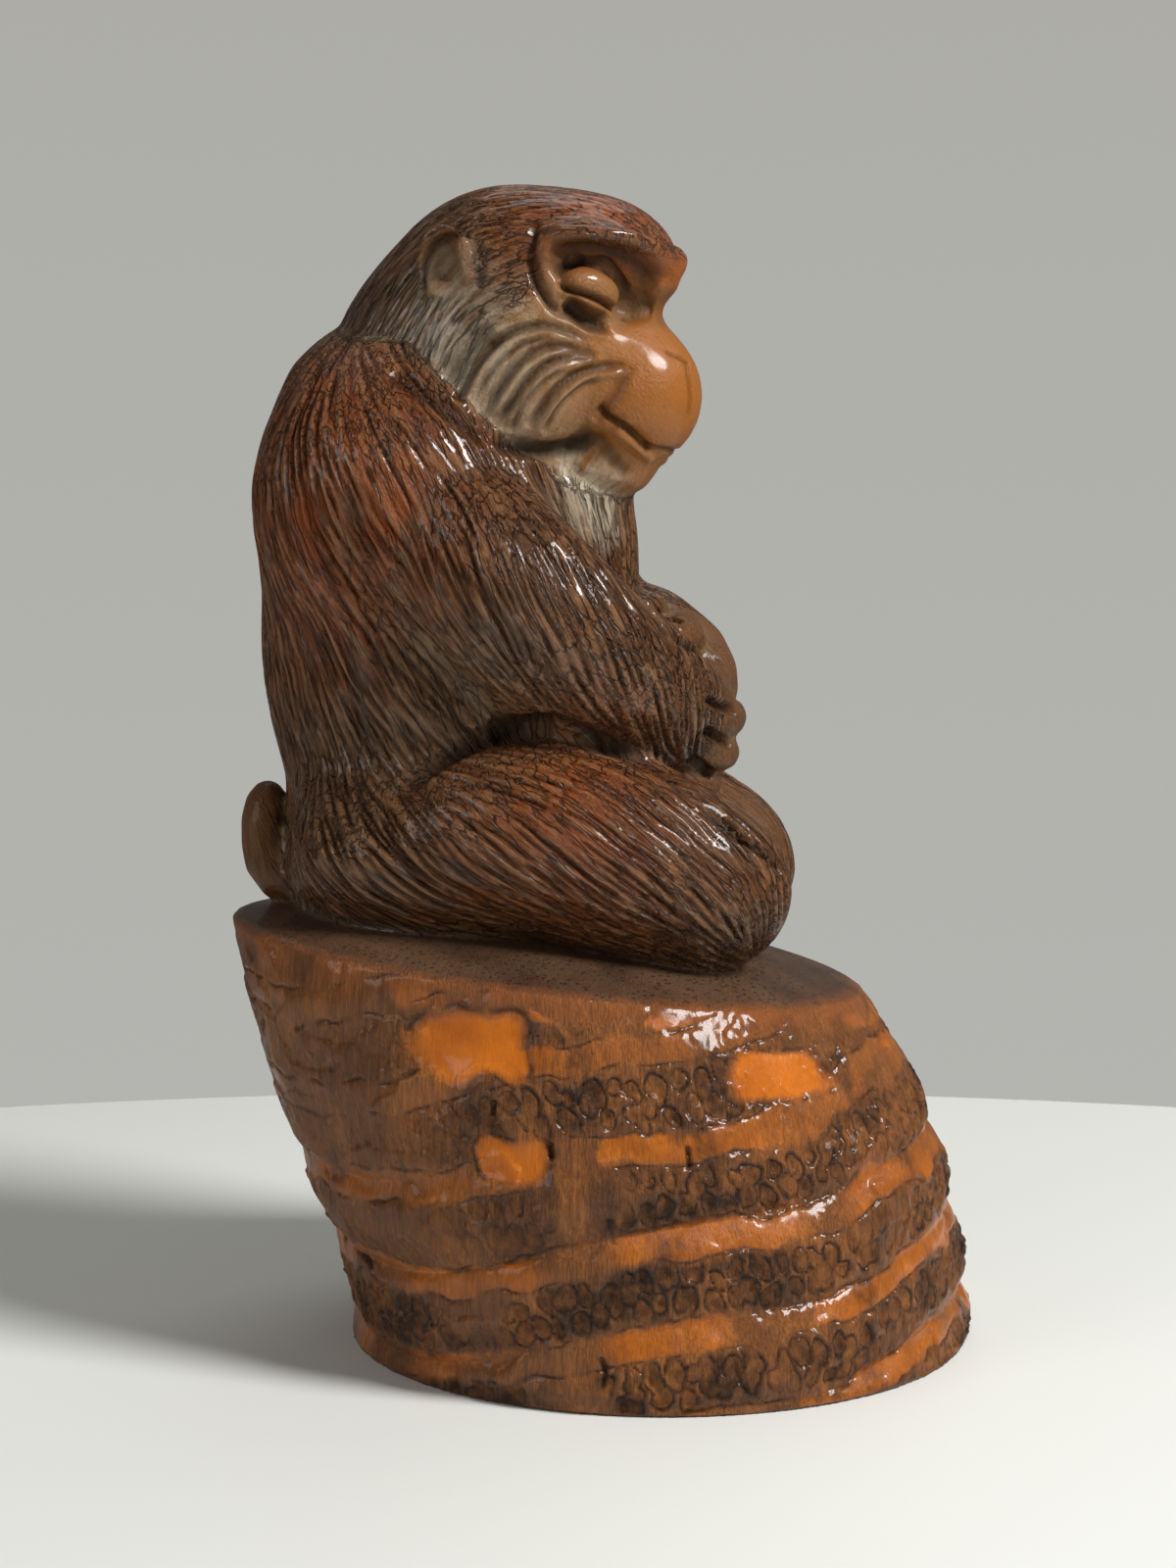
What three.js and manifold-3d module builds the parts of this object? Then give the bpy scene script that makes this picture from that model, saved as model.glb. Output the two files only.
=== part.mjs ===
// A monkey that sits with folded arms and crossed legs, carved in one with the ringed root that it sits on.
// Millimetres, +Z up. The monkey faces -Y and its left side is +X. The origin is the middle of the foot.
import * as THREE from "three";
import { mergeVertices } from "three/addons/utils/BufferGeometryUtils.js";
import Module from "manifold-3d";

const wasm = await Module();
wasm.setup();

// Driving dimensions of the root.
const FOOT_LENGTH = 124;
const FOOT_WIDTH = 118;
const RIM_LENGTH = 126;
const RIM_WIDTH = 102;
const RIM_HEIGHT = 77; // at the rim's middle
const RIM_FALL = 6.6; // degrees that the rim drops towards the front
const LEAN = 23; // how far the rim's middle lies behind the foot's middle
const SEAT_RISE = 6; // the seat is a shallow dome above its rim
const BELLY = 3; // how far the root's side swells out between foot and rim
const RING_SPACING = 17;
const RING_RELIEF = 1.4;
const RING_PITCH = 0.17; // the rings climb towards the front
const RING_ROLL = 0.08; // and towards the monkey's left

// The monkey. Its pose and forms below are hundredths of its height above the middle of the rim.
const FIGURE_HEIGHT = 152;
const HEAD_TURN = 12; // degrees to its right

const unit = FIGURE_HEIGHT / 100;
const radians = THREE.MathUtils.degToRad;
const smooth = THREE.MathUtils.smoothstep;
const SIDES = [-1, 1];
const ACROSS = new THREE.Vector3(1, 0, 0);
const UPRIGHT = new THREE.Vector3(0, 0, 1);

// A point of the figure: side is + to its left, front is + towards its face, up is from the middle of the rim.
function at(side, front, up) {
  return new THREE.Vector3(side, -front, up).multiplyScalar(unit);
}

// Moves each vertex of a geometry by a function of its place.
function shape(geometry, move) {
  const points = geometry.getAttribute("position");
  const v = new THREE.Vector3();
  for (let i = 0; i < points.count; i++) {
    v.fromBufferAttribute(points, i);
    const moved = move(v);
    points.setXYZ(i, moved.x, moved.y, moved.z);
  }
  return geometry;
}

// A long round form along a smooth path. A station is [side, front, up, half width, half thickness], level is
// the direction of the width, and caps are the lengths of its two rounded ends.
function limb(stations, caps, { around = 16, along = 14, level = ACROSS } = {}) {
  const path = new THREE.CatmullRomCurve3(
    stations.map(([side, front, up]) => at(side, front, up)), false, "catmullrom");
  const girth = new THREE.CatmullRomCurve3(
    stations.map(([, , , wide, thick]) => new THREE.Vector3(wide, thick ?? wide, 0)), false, "catmullrom");
  const [start, end] = caps.map((cap) => path.getLength() / (cap * unit));
  const closing = (reach) => Math.sqrt(1 - Math.pow(1 - Math.min(reach, 1), 2));
  return shape(new THREE.SphereGeometry(1, around, along), (v) => {
    const t = THREE.MathUtils.clamp((1 - v.y) / 2, 0, 1);
    const forward = path.getTangent(t);
    const width = level.clone().addScaledVector(forward, -level.dot(forward)).normalize();
    const thickness = new THREE.Vector3().crossVectors(forward, width);
    const ring = Math.hypot(v.x, v.z) || 1;
    const half = girth.getPoint(t).multiplyScalar(closing(t * start) * closing((1 - t) * end) * unit);
    return path.getPoint(t)
      .addScaledVector(width, (half.x * v.x) / ring)
      .addScaledVector(thickness, (half.y * v.z) / ring);
  });
}

// Forms that melt into each other are signed distances, and nod tips one's front up, in degrees.
function egg(side, front, up, halfSide, halfFront, halfUp, nod = 0) {
  const c = Math.cos(radians(nod));
  const s = Math.sin(radians(nod));
  return (p) => {
    const f = p.front - front;
    const u = p.up - up;
    const a = (p.side - side) / halfSide;
    const b = (c * f + s * u) / halfFront;
    const d = (c * u - s * f) / halfUp;
    const k = Math.hypot(a, b, d);
    return (k * (k - 1)) / Math.max(Math.hypot(a / halfSide, b / halfFront, d / halfUp), 1e-6);
  };
}

function blend(a, b, soft) {
  const near = Math.max(soft - Math.abs(a - b), 0) / soft;
  return Math.min(a, b) - (near * near * soft) / 4;
}

function hollow(a, b, soft) {
  return -blend(-a, b, soft);
}

// Lays a sphere's grid on the outermost surface of a field that is the same on both sides. front and up give
// the grid's centre, and crowd gathers its columns at the front.
function skin(field, front, up, { around, along, crowd = 0, reach }) {
  const geometry = new THREE.SphereGeometry(1, around, along).rotateX(Math.PI / 2);
  return shape(geometry, (v) => {
    const level = Math.hypot(v.x, v.y);
    const bearing = Math.atan2(v.x, -v.y);
    const crowded = bearing - crowd * Math.sin(bearing);
    const ray = { side: level * Math.sin(crowded), front: level * Math.cos(crowded), up: v.z };
    const value = (r) => field({ side: Math.abs(ray.side * r), front: front + ray.front * r, up: up + ray.up * r });
    const step = reach / 100;
    let far = reach;
    while (far > step && value(far - step) > 0) far -= step;
    let near = far - step;
    for (let i = 0; i < 12; i++) {
      const middle = (near + far) / 2;
      if (value(middle) > 0) far = middle;
      else near = middle;
    }
    return at(ray.side * far, front + ray.front * far, up + ray.up * far);
  });
}

// The root: a leaning, ringed stub with a flat foot and a domed seat.
function rimHeight(front) {
  return RIM_HEIGHT - Math.tan(radians(RIM_FALL)) * (front + LEAN / 2);
}

// Rows of its side follow the rings: a groove at each whole number and a swelling halfway.
function ringRows() {
  const rings = Math.ceil(RIM_HEIGHT / RING_SPACING) + 2;
  const rows = [];
  for (let ring = -1; ring < rings; ring++) {
    for (const part of [0, 0.16, 0.5, 0.84]) rows.push(new THREE.Vector2(1, ring + part));
  }
  return rows;
}

function root() {
  const side = ringRows();
  const low = side[0].y;
  const high = side[side.length - 1].y;
  const seat = [0.95, 0.8, 0].map((r) => new THREE.Vector2(r, high));
  const profile = [new THREE.Vector2(0, low), new THREE.Vector2(0.6, low), ...side, ...seat];
  return shape(new THREE.LatheGeometry(profile, 46), (v) => {
    const r = Math.hypot(v.x, v.z);
    const turn = Math.atan2(v.x, v.z); // 0 is the front
    const climb = (RING_PITCH * FOOT_LENGTH * Math.cos(turn) + RING_ROLL * FOOT_WIDTH * Math.sin(turn)) / 2;
    const rim = rimHeight((RIM_LENGTH * Math.cos(turn) - LEAN) / 2);
    const height = THREE.MathUtils.clamp(v.y * RING_SPACING + climb, 0, rim);
    const share = height / rim;
    const middle = LEAN * (0.5 - Math.pow(share, 1.4));
    const length = THREE.MathUtils.lerp(FOOT_LENGTH, RIM_LENGTH, share) / 2;
    const width = THREE.MathUtils.lerp(FOOT_WIDTH, RIM_WIDTH, share) / 2;
    const ring = 2 * Math.abs(Math.sin(Math.PI * v.y)) - 1;
    const lump = 0.9 * Math.sin(3 * turn + 0.05 * height) + 0.6 * Math.sin(5 * turn - 0.09 * height + 1);
    const fade = smooth(height, 0, 4) * (1 - smooth(height, rim - 9, rim));
    const swell = BELLY * Math.sin(Math.PI * Math.pow(share, 1.6));
    const out = r > 0.99 ? (RING_RELIEF * ring + lump) * fade + swell : 0;
    const front = middle + (length * r + out) * Math.cos(turn);
    const dome = share === 1 ? SEAT_RISE * (1 - Math.pow(r, 3)) : 0;
    const z = share === 1 ? rimHeight(front) + dome : height;
    return new THREE.Vector3((width * r + out) * Math.sin(turn), -front, z);
  });
}

// The trunk, from the rump to the nape.
const rump = egg(0, -12, 12, 20, 22.8, 19);
const hip = egg(14.4, -9, 13.8, 11, 22, 11, -4);
const back = egg(0, -12.6, 41, 19.5, 25, 36);
const shoulder = egg(9, -17.7, 59, 15.5, 19.2, 19.5);
const scruff = egg(0, -19, 71.5, 14.5, 15.4, 11.5);
const chest = egg(0, 1, 54, 11.5, 11.4, 17);
const belly = egg(0, 2, 28, 15, 14, 18);

function trunkField(p) {
  let d = blend(rump(p), back(p), 5);
  d = blend(d, hip(p), 5);
  d = blend(d, shoulder(p), 6);
  d = blend(d, scruff(p), 6);
  d = blend(d, chest(p), 3);
  return blend(d, belly(p), 4);
}

// An arm comes down across the side and folds in over the belly. Its width lies in the plane of its bend.
function arm(side, wrist) {
  return limb([
    [side * 6, -25, 69, 5, 4],
    [side * 11.5, -18, 62.5, 10, 8.5],
    [side * 15.8, -9, 53, 12, 9.6],
    [side * 17.6, -1, 45.5, 12, 9.8],
    [side * 16.4, 6.5, 39, 11, 9.4],
    [side * 11, 13.5, wrist + 2.5, 9.6, 8.5],
    [side * 4, 18, wrist - 1.5, 8.2, 7],
    [-side * 2, 19, wrist - 2.5, 7, 5.5],
  ], [24, 7], { around: 14, along: 16, level: new THREE.Vector3(0.2 * side, -0.56, 0.71) });
}

// Fingers that curl round from one side to the other, each given as [front, up, half thickness].
function fingers(side, list) {
  return list.map(([front, up, half]) => limb([
    [side * 7, front - 5, up + 0.4, half],
    [side * 4, front - 0.8, up + 0.2, half],
    [-side * 1, front, up, half],
    [-side * 6, front - 3.5, up - 0.6, half * 0.85],
  ], [3, 3], { around: 8, along: 7, level: UPRIGHT }));
}

// A folded leg: hip, thigh and knee, and the shin that crosses to the other side.
function leg(side, shinRise) {
  const thigh = limb([
    [side * 10, -28, 12.5, 6, 6],
    [side * 14, -17, 14.5, 9.5, 9.5],
    [side * 15.5, -8, 16.2, 11, 11.8],
    [side * 16, 3, 16.2, 11.4, 13.2],
    [side * 15.5, 13, 13.6, 11.2, 12.8],
    [side * 14, 23, 9.6, 10.4, 11.2],
    [side * 12.4, 32.6, 6.6, 9.4, 9.4],
  ], [20, 10], { along: 16 });
  const shin = limb([
    [side * 14, 22, 7, 6],
    [side * 6, 25, 7.5 + shinRise * 0.3, 6],
    [-side * 3, 24.5, 8 + shinRise * 0.7, 5.6],
    [-side * 10, 20, 9 + shinRise, 5],
  ], [6, 6], { around: 12, along: 9, level: UPRIGHT });
  return [thigh, shin];
}

// The foot that lies uppermost, sole up, with its toes against the other thigh.
function foot(side) {
  const sole = limb([
    [side * 5, 21, 12, 4.6],
    [-side * 1, 21.5, 14, 4.8],
    [-side * 6, 20, 14.5, 4.2],
  ], [4, 4], { around: 12, along: 8, level: UPRIGHT });
  const toes = [0, 1, 2, 3].map((i) => limb([
    [-side * (3 + 2.3 * i), 21.5 - 0.8 * i, 14, 1.7],
    [-side * (3.6 + 2.3 * i), 20.5 - 0.8 * i, 18.6 - 0.4 * i, 1.5],
  ], [1.6, 1.6], { around: 8, along: 5 }));
  return [sole, ...toes];
}

function tail() {
  return limb([
    [0, -28, 8.5, 6, 4.5],
    [0, -35, 9.6, 5, 4.2],
    [0, -37.2, 14, 4.4, 3.6],
    [0, -37, 22, 3.8, 3.2],
  ], [3, 4], { around: 12, along: 10 });
}

// The head's own frame has its pivot in the neck.
const skull = egg(0, 4.4, 4.8, 16.8, 19, 18.5);
const occiput = egg(0, -7.5, 0, 14.5, 12.4, 12.5);
const forehead = egg(0, 13.4, 12, 13.2, 12.8, 9.9);
const cheek = egg(9.4, 4.5, -2.5, 8, 12, 10.5, -14);
const bridge = egg(0, 18, 6, 4.6, 6, 7);
const muzzle = egg(0, 17.6, -3.3, 9.8, 11.9, 10.4, -14);
const jaw = egg(0, 12.8, -11.6, 8.3, 10.6, 5, -13);
const socket = egg(11.4, 20.6, 9, 8, 8.4, 5.6, -10);
const lid = egg(8.6, 15.2, 8, 4.9, 5.2, 4.4, -20);

function headField(p) {
  let d = blend(skull(p), occiput(p), 6);
  d = blend(d, forehead(p), 3);
  d = blend(d, cheek(p), 4);
  d = blend(d, bridge(p), 3);
  d = hollow(d, socket(p), 1.5);
  d = blend(d, lid(p), 0.7);
  d = blend(d, muzzle(p), 1.5);
  return blend(d, jaw(p), 0.8);
}

// The brow is a heavy ridge from temple to temple that overhangs the eyes and turns down behind them.
function brow() {
  const half = [[13.4, 10.6, 9.2, 1.2], [12.9, 12.4, 13.4, 1.9], [11.2, 17.2, 15, 2.6], [6.6, 21.6, 13.4, 3.1]];
  const left = half.map(([side, ...rest]) => [-side, ...rest]);
  return limb([...left, [0, 23.4, 11.2, 3.4], ...half.reverse()], [2, 2], { around: 8, along: 24, level: UPRIGHT });
}

// An ear is a small dish that lies against the head.
function ear(side) {
  const dish = shape(new THREE.SphereGeometry(1, 12, 8), (v) => {
    const rim = Math.hypot(v.y, v.z);
    const out = v.x > 0 ? v.x * (1 - 1.1 * (1 - rim * rim)) : v.x;
    return at(2.2 * out, 4.3 * v.z, 5.3 * v.y);
  });
  const place = at(side * 15.7, 0.8, 11.8);
  if (side < 0) dish.rotateZ(Math.PI);
  return dish.rotateX(-0.35).translate(place.x, place.y, place.z);
}

function head() {
  const neck = at(0, -8, 76);
  const whole = skin(headField, 5, -2, { around: 42, along: 32, crowd: 0.35, reach: 40 });
  const forms = [whole, brow(), ear(-1), ear(1)];
  return forms.map((form) => form.rotateZ(-radians(HEAD_TURN)).translate(neck.x, neck.y, neck.z));
}

function solid(geometry) {
  geometry.deleteAttribute("normal");
  geometry.deleteAttribute("uv");
  const merged = mergeVertices(geometry, 1e-3);
  const corners = Array.from(merged.index.array);
  const faces = [];
  for (let i = 0; i < corners.length; i += 3) {
    const face = corners.slice(i, i + 3);
    if (new Set(face).size === 3) faces.push(...face);
  }
  return new wasm.Manifold(new wasm.Mesh({
    numProp: 3,
    vertProperties: new Float32Array(merged.getAttribute("position").array),
    triVerts: new Uint32Array(faces),
  }));
}

// Joins the forms into one body, and drops the crumbs that tight folds leave inside it.
function joined(geometries) {
  const bodies = geometries.map(solid).reduce((a, b) => a.add(b)).decompose();
  const whole = bodies.reduce((a, b) => (a.volume() > b.volume() ? a : b)).getMesh();
  const geometry = new THREE.BufferGeometry();
  geometry.setAttribute("position", new THREE.BufferAttribute(whole.vertProperties, 3));
  geometry.setIndex(new THREE.BufferAttribute(whole.triVerts, 1));
  geometry.computeVertexNormals();
  return geometry;
}

const figure = [
  skin(trunkField, -12, 40, { around: 34, along: 24, reach: 70 }),
  tail(),
  ...leg(-1, 2),
  ...leg(1, -1),
  ...foot(1),
  arm(-1, 32),
  arm(1, 35.5),
  ...fingers(-1, [[22.6, 35.2, 2.6], [24, 30.6, 2.7], [23.2, 26, 2.6], [21.2, 22, 2.3]]),
  ...fingers(1, [[13.6, 44.2, 2.9], [18, 41, 3.2]]),
  ...head(),
].map((form) => form.translate(0, LEAN / 2, RIM_HEIGHT));

const geometry = joined([root(), ...figure]);
geometry.computeBoundingBox();
const middle = geometry.boundingBox.getCenter(new THREE.Vector3());
geometry.translate(-middle.x, -middle.y, -geometry.boundingBox.min.z);

const wood = new THREE.MeshStandardMaterial({ color: 0x5a3420, roughness: 0.4, metalness: 0 });
const carving = new THREE.Mesh(geometry, wood);
carving.name = "monkey_on_root";

const group = new THREE.Group();
group.add(carving);
export default group;
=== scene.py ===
# %% [markdown]
# # A monkey carved in one with the root that it sits on
# The real thing is one stub of root wood. Its foot is left as it grew, with rings and rows of root scars, and
# the rest is carved with a gouge, stained, rubbed and lacquered. So this lesson works as the carver does: it
# takes the rough form, smooths it, cuts the creases and the face, combs the fur, and finishes the surface.

# %% Load the rough form
import math
import random
import bmesh
import bpy
import numpy as np
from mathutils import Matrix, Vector, kdtree


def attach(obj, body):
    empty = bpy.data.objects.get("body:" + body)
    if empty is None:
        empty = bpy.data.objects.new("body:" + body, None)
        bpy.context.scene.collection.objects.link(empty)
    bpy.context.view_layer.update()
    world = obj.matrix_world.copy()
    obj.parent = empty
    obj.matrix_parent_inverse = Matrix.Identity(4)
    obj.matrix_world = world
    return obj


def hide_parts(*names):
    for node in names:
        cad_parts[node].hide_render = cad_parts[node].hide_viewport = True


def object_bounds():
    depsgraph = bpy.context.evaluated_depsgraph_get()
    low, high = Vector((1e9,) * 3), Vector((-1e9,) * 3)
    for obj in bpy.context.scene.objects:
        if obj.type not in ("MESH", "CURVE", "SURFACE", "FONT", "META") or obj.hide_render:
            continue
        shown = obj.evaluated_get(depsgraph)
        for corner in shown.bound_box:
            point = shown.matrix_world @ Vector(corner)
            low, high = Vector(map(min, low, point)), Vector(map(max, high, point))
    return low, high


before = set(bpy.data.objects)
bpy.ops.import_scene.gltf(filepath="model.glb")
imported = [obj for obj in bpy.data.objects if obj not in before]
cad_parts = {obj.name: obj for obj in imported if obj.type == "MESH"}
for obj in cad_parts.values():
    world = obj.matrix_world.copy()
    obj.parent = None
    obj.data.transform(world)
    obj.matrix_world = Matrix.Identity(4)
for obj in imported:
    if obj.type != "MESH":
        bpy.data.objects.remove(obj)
cad_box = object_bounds()
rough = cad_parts["monkey_on_root"]
print("rough form", len(rough.data.polygons), "triangles, box", cad_box)

# %% [markdown]
# ## Sizes
# The rough form comes from named sizes, and the same sizes are needed here to know where a point lies: on the
# root's wall, on the seat, on the body or on the head. Lengths are in millimetres, and the figure is measured
# in hundredths of its own height.

# %% Sizes in millimetres
MM = 0.001
FOOT_LENGTH, FOOT_WIDTH = 124.0, 118.0
RIM_LENGTH, RIM_WIDTH, RIM_HEIGHT = 126.0, 102.0, 77.0
RIM_SLOPE = math.tan(math.radians(6.6))
LEAN, SEAT_RISE, BELLY = 23.0, 6.0, 3.0
RING_SPACING, RING_RELIEF, RING_PITCH, RING_ROLL = 17.0, 1.4, 0.17, 0.08
UNIT = 1.52
HEAD_TURN = math.radians(12)
SEED = 11

# %% [markdown]
# ## The camera
# The photograph looks at the monkey's right side from a little above. The camera comes first, because the
# features of the face are placed by looking through it: a line of sight is sent to the rough form, and the
# feature sits where that line meets the wood.

# %% Camera
PHOTO = (1200, 1600)
FOCAL = 2700.0  # in the photograph's pixels
AZIMUTH = math.radians(-85)
SENSOR = 36
CAMERA_BACK, CAMERA_HEIGHT = 527, 158
LOOK_RIGHT, LOOK_HEIGHT = -2.7, 110
UP = Vector((0, 0, 1))
back_way = Vector((math.sin(AZIMUTH), -math.cos(AZIMUTH), 0))
right_way = Vector((math.cos(AZIMUTH), math.sin(AZIMUTH), 0))
camera_place = back_way * CAMERA_BACK + UP * CAMERA_HEIGHT
looked_at = right_way * LOOK_RIGHT + UP * LOOK_HEIGHT
view_way = (looked_at - camera_place).normalized()
side_way = view_way.cross(UP).normalized()
rise_way = side_way.cross(view_way)


def placed(name, data):
    """A new object in the scene."""
    thing = bpy.data.objects.new(name, data)
    bpy.context.collection.objects.link(thing)
    return thing


camera = placed("camera", bpy.data.cameras.new("camera"))
camera.data.sensor_fit = "VERTICAL"
camera.data.sensor_height = SENSOR
camera.data.lens = FOCAL / PHOTO[1] * SENSOR
camera.location = camera_place * MM
camera.rotation_euler = view_way.to_track_quat("-Z", "Y").to_euler()
bpy.context.scene.camera = camera
print("lens", round(camera.data.lens, 2), "mm")


def seen(x, y):
    """The place on the rough form, in mm, that shows at a pixel of the photograph."""
    ray = view_way + side_way * ((x - PHOTO[0] / 2) / FOCAL) + rise_way * ((PHOTO[1] / 2 - y) / FOCAL)
    hit, place, _, _ = rough.ray_cast(camera_place * MM, ray.normalized())
    return np.array(place) / MM if hit else None


# %% [markdown]
# ## The blank
# The rough form has large flat facets. A copy is made into an even mesh of small squares, which can be pushed
# about like clay. The fine mesh is worked in arrays, because that is quick for several hundred thousand points.

# %% An even mesh
CELL = 0.43


def copy_of(source, name):
    mesh = bpy.data.meshes.new(name)
    bm = bmesh.new()
    bm.from_mesh(source.data)
    bmesh.ops.remove_doubles(bm, verts=bm.verts, dist=1e-6)
    bm.to_mesh(mesh)
    bm.free()
    return placed(name, mesh)


def finished(thing):
    """The mesh of an object with its modifiers applied. The object itself is removed."""
    graph = bpy.context.evaluated_depsgraph_get()
    mesh = bpy.data.meshes.new_from_object(thing.evaluated_get(graph))
    bpy.data.objects.remove(thing)
    return mesh


blank = copy_of(rough, "blank")
remesh = blank.modifiers.new("even", "REMESH")
remesh.mode = "VOXEL"
remesh.voxel_size = CELL * MM
blank_mesh = finished(blank)
count = len(blank_mesh.vertices)
print("blank", count, "points,", len(blank_mesh.polygons), "squares")


# %% Points, edges and outward directions as arrays
def read(items, name, wide=1, kind=np.float32):
    """One property of all the items of a mesh, in a flat array."""
    values = np.empty(len(items) * wide, dtype=kind)
    items.foreach_get(name, values)
    return values


def clip01(values):
    return np.clip(values, 0, 1)


ends = read(blank_mesh.edges, "vertices", 2, np.int32)
start, end = ends.reshape(-1, 2).T
degree = np.bincount(ends, minlength=count).astype(float)


def around(values):
    """The mean of each point's neighbours."""
    return (np.bincount(start, values[end], count) + np.bincount(end, values[start], count)) / degree


def settle(values, times, share=0.5):
    """Smooths a number, or a place, over the surface."""
    values = values.copy()
    for _ in range(times):
        if values.ndim == 1:
            values += share * (around(values) - values)
        else:
            values += share[:, None] * (np.stack([around(v) for v in values.T], 1) - values)
    return values


def outward(points):
    """Moves the mesh to the points, and gives the direction that faces out at each of them."""
    blank_mesh.vertices.foreach_set("co", (points * MM).astype(np.float32).ravel())
    blank_mesh.update()
    return read(blank_mesh.vertex_normals, "vector", 3).reshape(-1, 3).astype(float)


points = read(blank_mesh.vertices, "co", 3).reshape(-1, 3).astype(float) / MM
foot = points[points[:, 2] < 0.5]
SHIFT = (foot.min(0) + foot.max(0))[:2] / 2 + (0, LEAN / 2)
HIP = np.array([SHIFT[0], SHIFT[1] + LEAN / 2, RIM_HEIGHT])
NECK = HIP + np.array([0, 8, 76]) * UNIT
print("shift of the root's middle", SHIFT.round(2))

# %% [markdown]
# ## Which part a point belongs to
# The figure's own directions are side (+ to its left), front and up. The head has its own, because it is
# turned a little to its right. A point belongs to the head if the head's egg shapes are nearer than the trunk's.


# %% Directions of the figure and the head
def on_figure(p):
    q = (p - HIP) / UNIT
    return np.stack([q[..., 0], -q[..., 1], q[..., 2]], -1)


def on_head(p):
    q = (p - NECK) / UNIT
    c, s = math.cos(HEAD_TURN), math.sin(HEAD_TURN)
    x, y = c * q[..., 0] - s * q[..., 1], s * q[..., 0] + c * q[..., 1]
    return np.stack([x, -y, q[..., 2]], -1)


def from_head(h):
    c, s = math.cos(HEAD_TURN), math.sin(HEAD_TURN)
    x, y = h[..., 0], -h[..., 1]
    return NECK + UNIT * np.stack([c * x + s * y, -s * x + c * y, h[..., 2]], -1)


def nearest_egg(place, eggs):
    """How far the places are from the nearest of the eggs, each given by its middle and half sizes."""
    best = np.full(len(place), 1e9)
    for side, front, up, half_side, half_front, half_up in eggs:
        off = (np.stack([abs(place[:, 0]) - side, place[:, 1] - front, place[:, 2] - up], -1)
               / (half_side, half_front, half_up))
        reach = np.linalg.norm(off, axis=1)
        best = np.minimum(best, (reach - 1) * min(half_side, half_front, half_up))
    return best


HEAD_EGGS = [(0, 4.4, 4.8, 16.8, 19, 18.5), (0, -7.5, 0, 14.5, 12.4, 12.5), (0, 13.6, 13, 13, 12.4, 9.8),
             (9.4, 4.5, -2.5, 8, 12, 10.5), (0, 17.8, -3, 9.8, 12, 10), (0, 13.6, -11.8, 8.4, 10.6, 5),
             (0, 22, 14, 12, 5, 4), (15.6, 1, 12, 3, 4, 4.6)]
TRUNK_EGGS = [(0, -12.6, 41, 19.5, 25, 36), (9, -17.7, 59, 15.5, 19.2, 19.5), (0, -19, 71.5, 14.5, 15.4, 11.5),
              (0, 1, 54, 11.5, 11.4, 17)]


def rim_height(front):
    return RIM_HEIGHT - RIM_SLOPE * (front + LEAN / 2)


def seat_radius(place):
    """How far out a point of the seat lies: 0 in its middle and 1 at its rim."""
    return np.hypot(place[:, 0] * 2 / RIM_WIDTH, (place[:, 1] + LEAN / 2) * 2 / RIM_LENGTH)


root_place = np.stack([points[:, 0] - SHIFT[0], -(points[:, 1] - SHIFT[1]), points[:, 2]], -1)
seat_top = rim_height(root_place[:, 1]) + SEAT_RISE * (1 - clip01(seat_radius(root_place)) ** 3)
is_root = points[:, 2] < seat_top + 0.5
figure, face = on_figure(points), on_head(points)
is_head = ~is_root & (nearest_egg(face, HEAD_EGGS) < nearest_egg(figure, TRUNK_EGGS) + 0.6)
is_body = ~is_root & ~is_head
print("points of the root, body and head:", is_root.sum(), is_body.sum(), is_head.sum())


# %% [markdown]
# ## Smoothing the blank
# The body's facets are large, so it is smoothed a good deal. The head, hands and toes are finer and get
# little. The root's wall isn't smoothed: each of its points moves to the true ringed surface.


# %% The ringed wall
def wall_frame(place):
    """For points near the root's wall: the bearing, the ring coordinate, and the place on the true wall."""
    height = place[:, 2]
    bearing = np.arctan2(place[:, 0], place[:, 1])
    for _ in range(4):
        sin, cos = np.sin(bearing), np.cos(bearing)
        rim = rim_height((RIM_LENGTH * cos - LEAN) / 2)
        share = clip01(height / rim)
        climb = (RING_PITCH * FOOT_LENGTH * cos + RING_ROLL * FOOT_WIDTH * sin) / 2
        ring = (height - climb) / RING_SPACING + 0.1 * np.sin(2 * bearing + 1) + 0.06 * np.sin(5 * bearing)
        middle = LEAN * (0.5 - share ** 1.4)
        length = (FOOT_LENGTH + (RIM_LENGTH - FOOT_LENGTH) * share) / 2
        width = (FOOT_WIDTH + (RIM_WIDTH - FOOT_WIDTH) * share) / 2
        calm = clip01((height - 36) / 16) * (0.75 - 0.35 * np.sin(bearing + 0.6))
        uneven = 0.75 + 0.4 * np.sin(2 * bearing + 0.11 * height) * np.cos(3 * bearing - 0.07 * height)
        relief = (2 * abs(np.sin(math.pi * ring)) ** 0.8 - 1) * uneven * (1 - calm)
        lump = 0.9 * np.sin(3 * bearing + 0.05 * height) + 0.6 * np.sin(5 * bearing - 0.09 * height + 1)
        ease = clip01(height / 4) * clip01((rim - height) / 9)
        out = (RING_RELIEF * relief + lump) * ease + BELLY * np.sin(math.pi * share ** 1.6)
        bearing = np.arctan2(place[:, 0] / (width + out), (place[:, 1] - middle) / (length + out))
    wall = np.stack([(width + out) * np.sin(bearing), middle + (length + out) * np.cos(bearing), height], -1)
    return bearing, ring, wall, rim


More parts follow.
